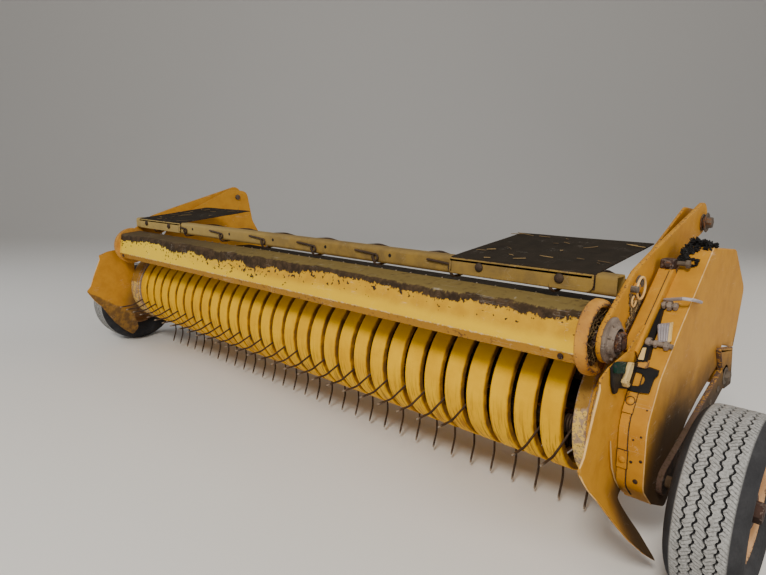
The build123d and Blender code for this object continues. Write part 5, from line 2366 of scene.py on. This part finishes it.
@dataclass
class Studio:
    """The floor, the light and the camera at the photograph's viewpoint.

    The focal length is in pixels of the photograph, the film width in millimetres.
    """

    floor: float = -0.3222
    focal: float = 575.0
    photo_wide: int = 766
    film: float = 36.0
    eye: tuple[float, float, float] = (1.516, -1.8, 0.465)
    right: tuple[float, float, float] = (0.7281, 0.6854, 0.0144)
    up: tuple[float, float, float] = (-0.1356, 0.1234, 0.9831)
    ahead: tuple[float, float, float] = (-0.672, 0.7177, -0.1828)

    def build(self) -> None:
        """Makes the camera, the floor and the lights."""
        self.build_camera()
        self.build_floor()
        self.build_lights()
        logging.info("made the studio")

    def build_camera(self) -> None:
        """Puts the camera where the photograph was taken from."""
        lens = bpy.data.cameras.new("camera")
        lens.sensor_width = self.film
        lens.lens = self.focal / self.photo_wide * self.film
        lens.clip_start, lens.clip_end = 0.02, 60.0
        camera = bpy.data.objects.new("camera", lens)
        bpy.context.scene.collection.objects.link(camera)
        x, y, z = Vector(self.right), Vector(self.up), -Vector(self.ahead)
        camera.matrix_world = Matrix(((x.x, y.x, z.x, self.eye[0]), (x.y, y.y, z.y, self.eye[1]),
                                      (x.z, y.z, z.z, self.eye[2]), (0, 0, 0, 1)))
        bpy.context.scene.camera = camera

    def build_floor(self) -> None:
        """Lays the floor flat under the pickup and sweeps it up away from the camera."""
        mesh = bpy.data.meshes.new("floor")
        line = [(-9.0, 0.0), *((5.0 + 4.0 * math.sin(a), 4.0 - 4.0 * math.cos(a))
                               for a in evenly(0.0, math.pi / 2, 0.1)), (9.0, 12.0)]
        ahead = Vector((self.ahead[0], self.ahead[1], 0.0)).normalized()
        aside = Vector((ahead.y, -ahead.x, 0.0))
        rows = [ahead * way + Vector((0, 0, self.floor + high)) for way, high in line]
        mesh.from_pydata([row + aside * side for row in rows for side in (-16.0, 16.0)], [],
                         [(2 * n, 2 * n + 1, 2 * n + 3, 2 * n + 2) for n in range(len(rows) - 1)])
        mesh.shade_smooth()
        floor = bpy.data.objects.new("floor", mesh)
        bpy.context.scene.collection.objects.link(floor)
        paint = bpy.data.materials.new("studio_floor")
        paint.use_nodes = True
        shader = paint.node_tree.nodes["Principled BSDF"]
        shader.inputs["Base Color"].default_value = (0.80, 0.78, 0.75, 1)
        shader.inputs["Roughness"].default_value = 0.9
        mesh.materials.append(paint)

    @staticmethod
    def build_lights() -> None:
        """Makes the sky and four lamps."""
        world = bpy.data.worlds.new("studio")
        world.use_nodes = True
        world.node_tree.nodes["Background"].inputs[0].default_value = (0.90, 0.89, 0.88, 1)
        world.node_tree.nodes["Background"].inputs[1].default_value = 0.30
        bpy.context.scene.world = world
        # Each lamp: its place, the point it faces, its width, its power and its colour
        for label, place, aim, width, power, colour in (
                ("key", (2.2, -4.1, 3.4), (0.3, -0.5, 0.0), 1.2, 190.0, (1.0, 0.95, 0.86)),
                ("side", (4.4, -1.8, 1.8), (1.0, -0.5, 0.0), 2.0, 55.0, (1.0, 0.97, 0.92)),
                ("fill", (-3.5, -3.0, 2.4), (0.0, -0.4, 0.0), 3.0, 45.0, (0.9, 0.95, 1.0)),
                ("back", (2.5, 3.5, 3.0), (0.3, 0.0, 0.1), 3.0, 60.0, (1.0, 0.98, 0.95))):
            data = bpy.data.lights.new(label, "AREA")
            data.shape, data.size, data.energy, data.color = "DISK", width, power, colour
            light = bpy.data.objects.new(label, data)
            bpy.context.scene.collection.objects.link(light)
            light.matrix_world = frame_at(place, Vector(place) - Vector(aim))


def main() -> None:
    """Builds the studio and every sub-assembly."""
    logging.basicConfig(level=logging.INFO, format="%(message)s")
    Studio().build()
    FrameSolids().build()
    StripperBands().build()
    TineReel().build()
    WindGuard().build()
    Crossbar().build()
    for side in Side:
        SideEnd(side).build()
        GaugeWheel(side).build()
    ChainCase().build()
    SideLatch().build()


if __name__ == "__main__":
    main()
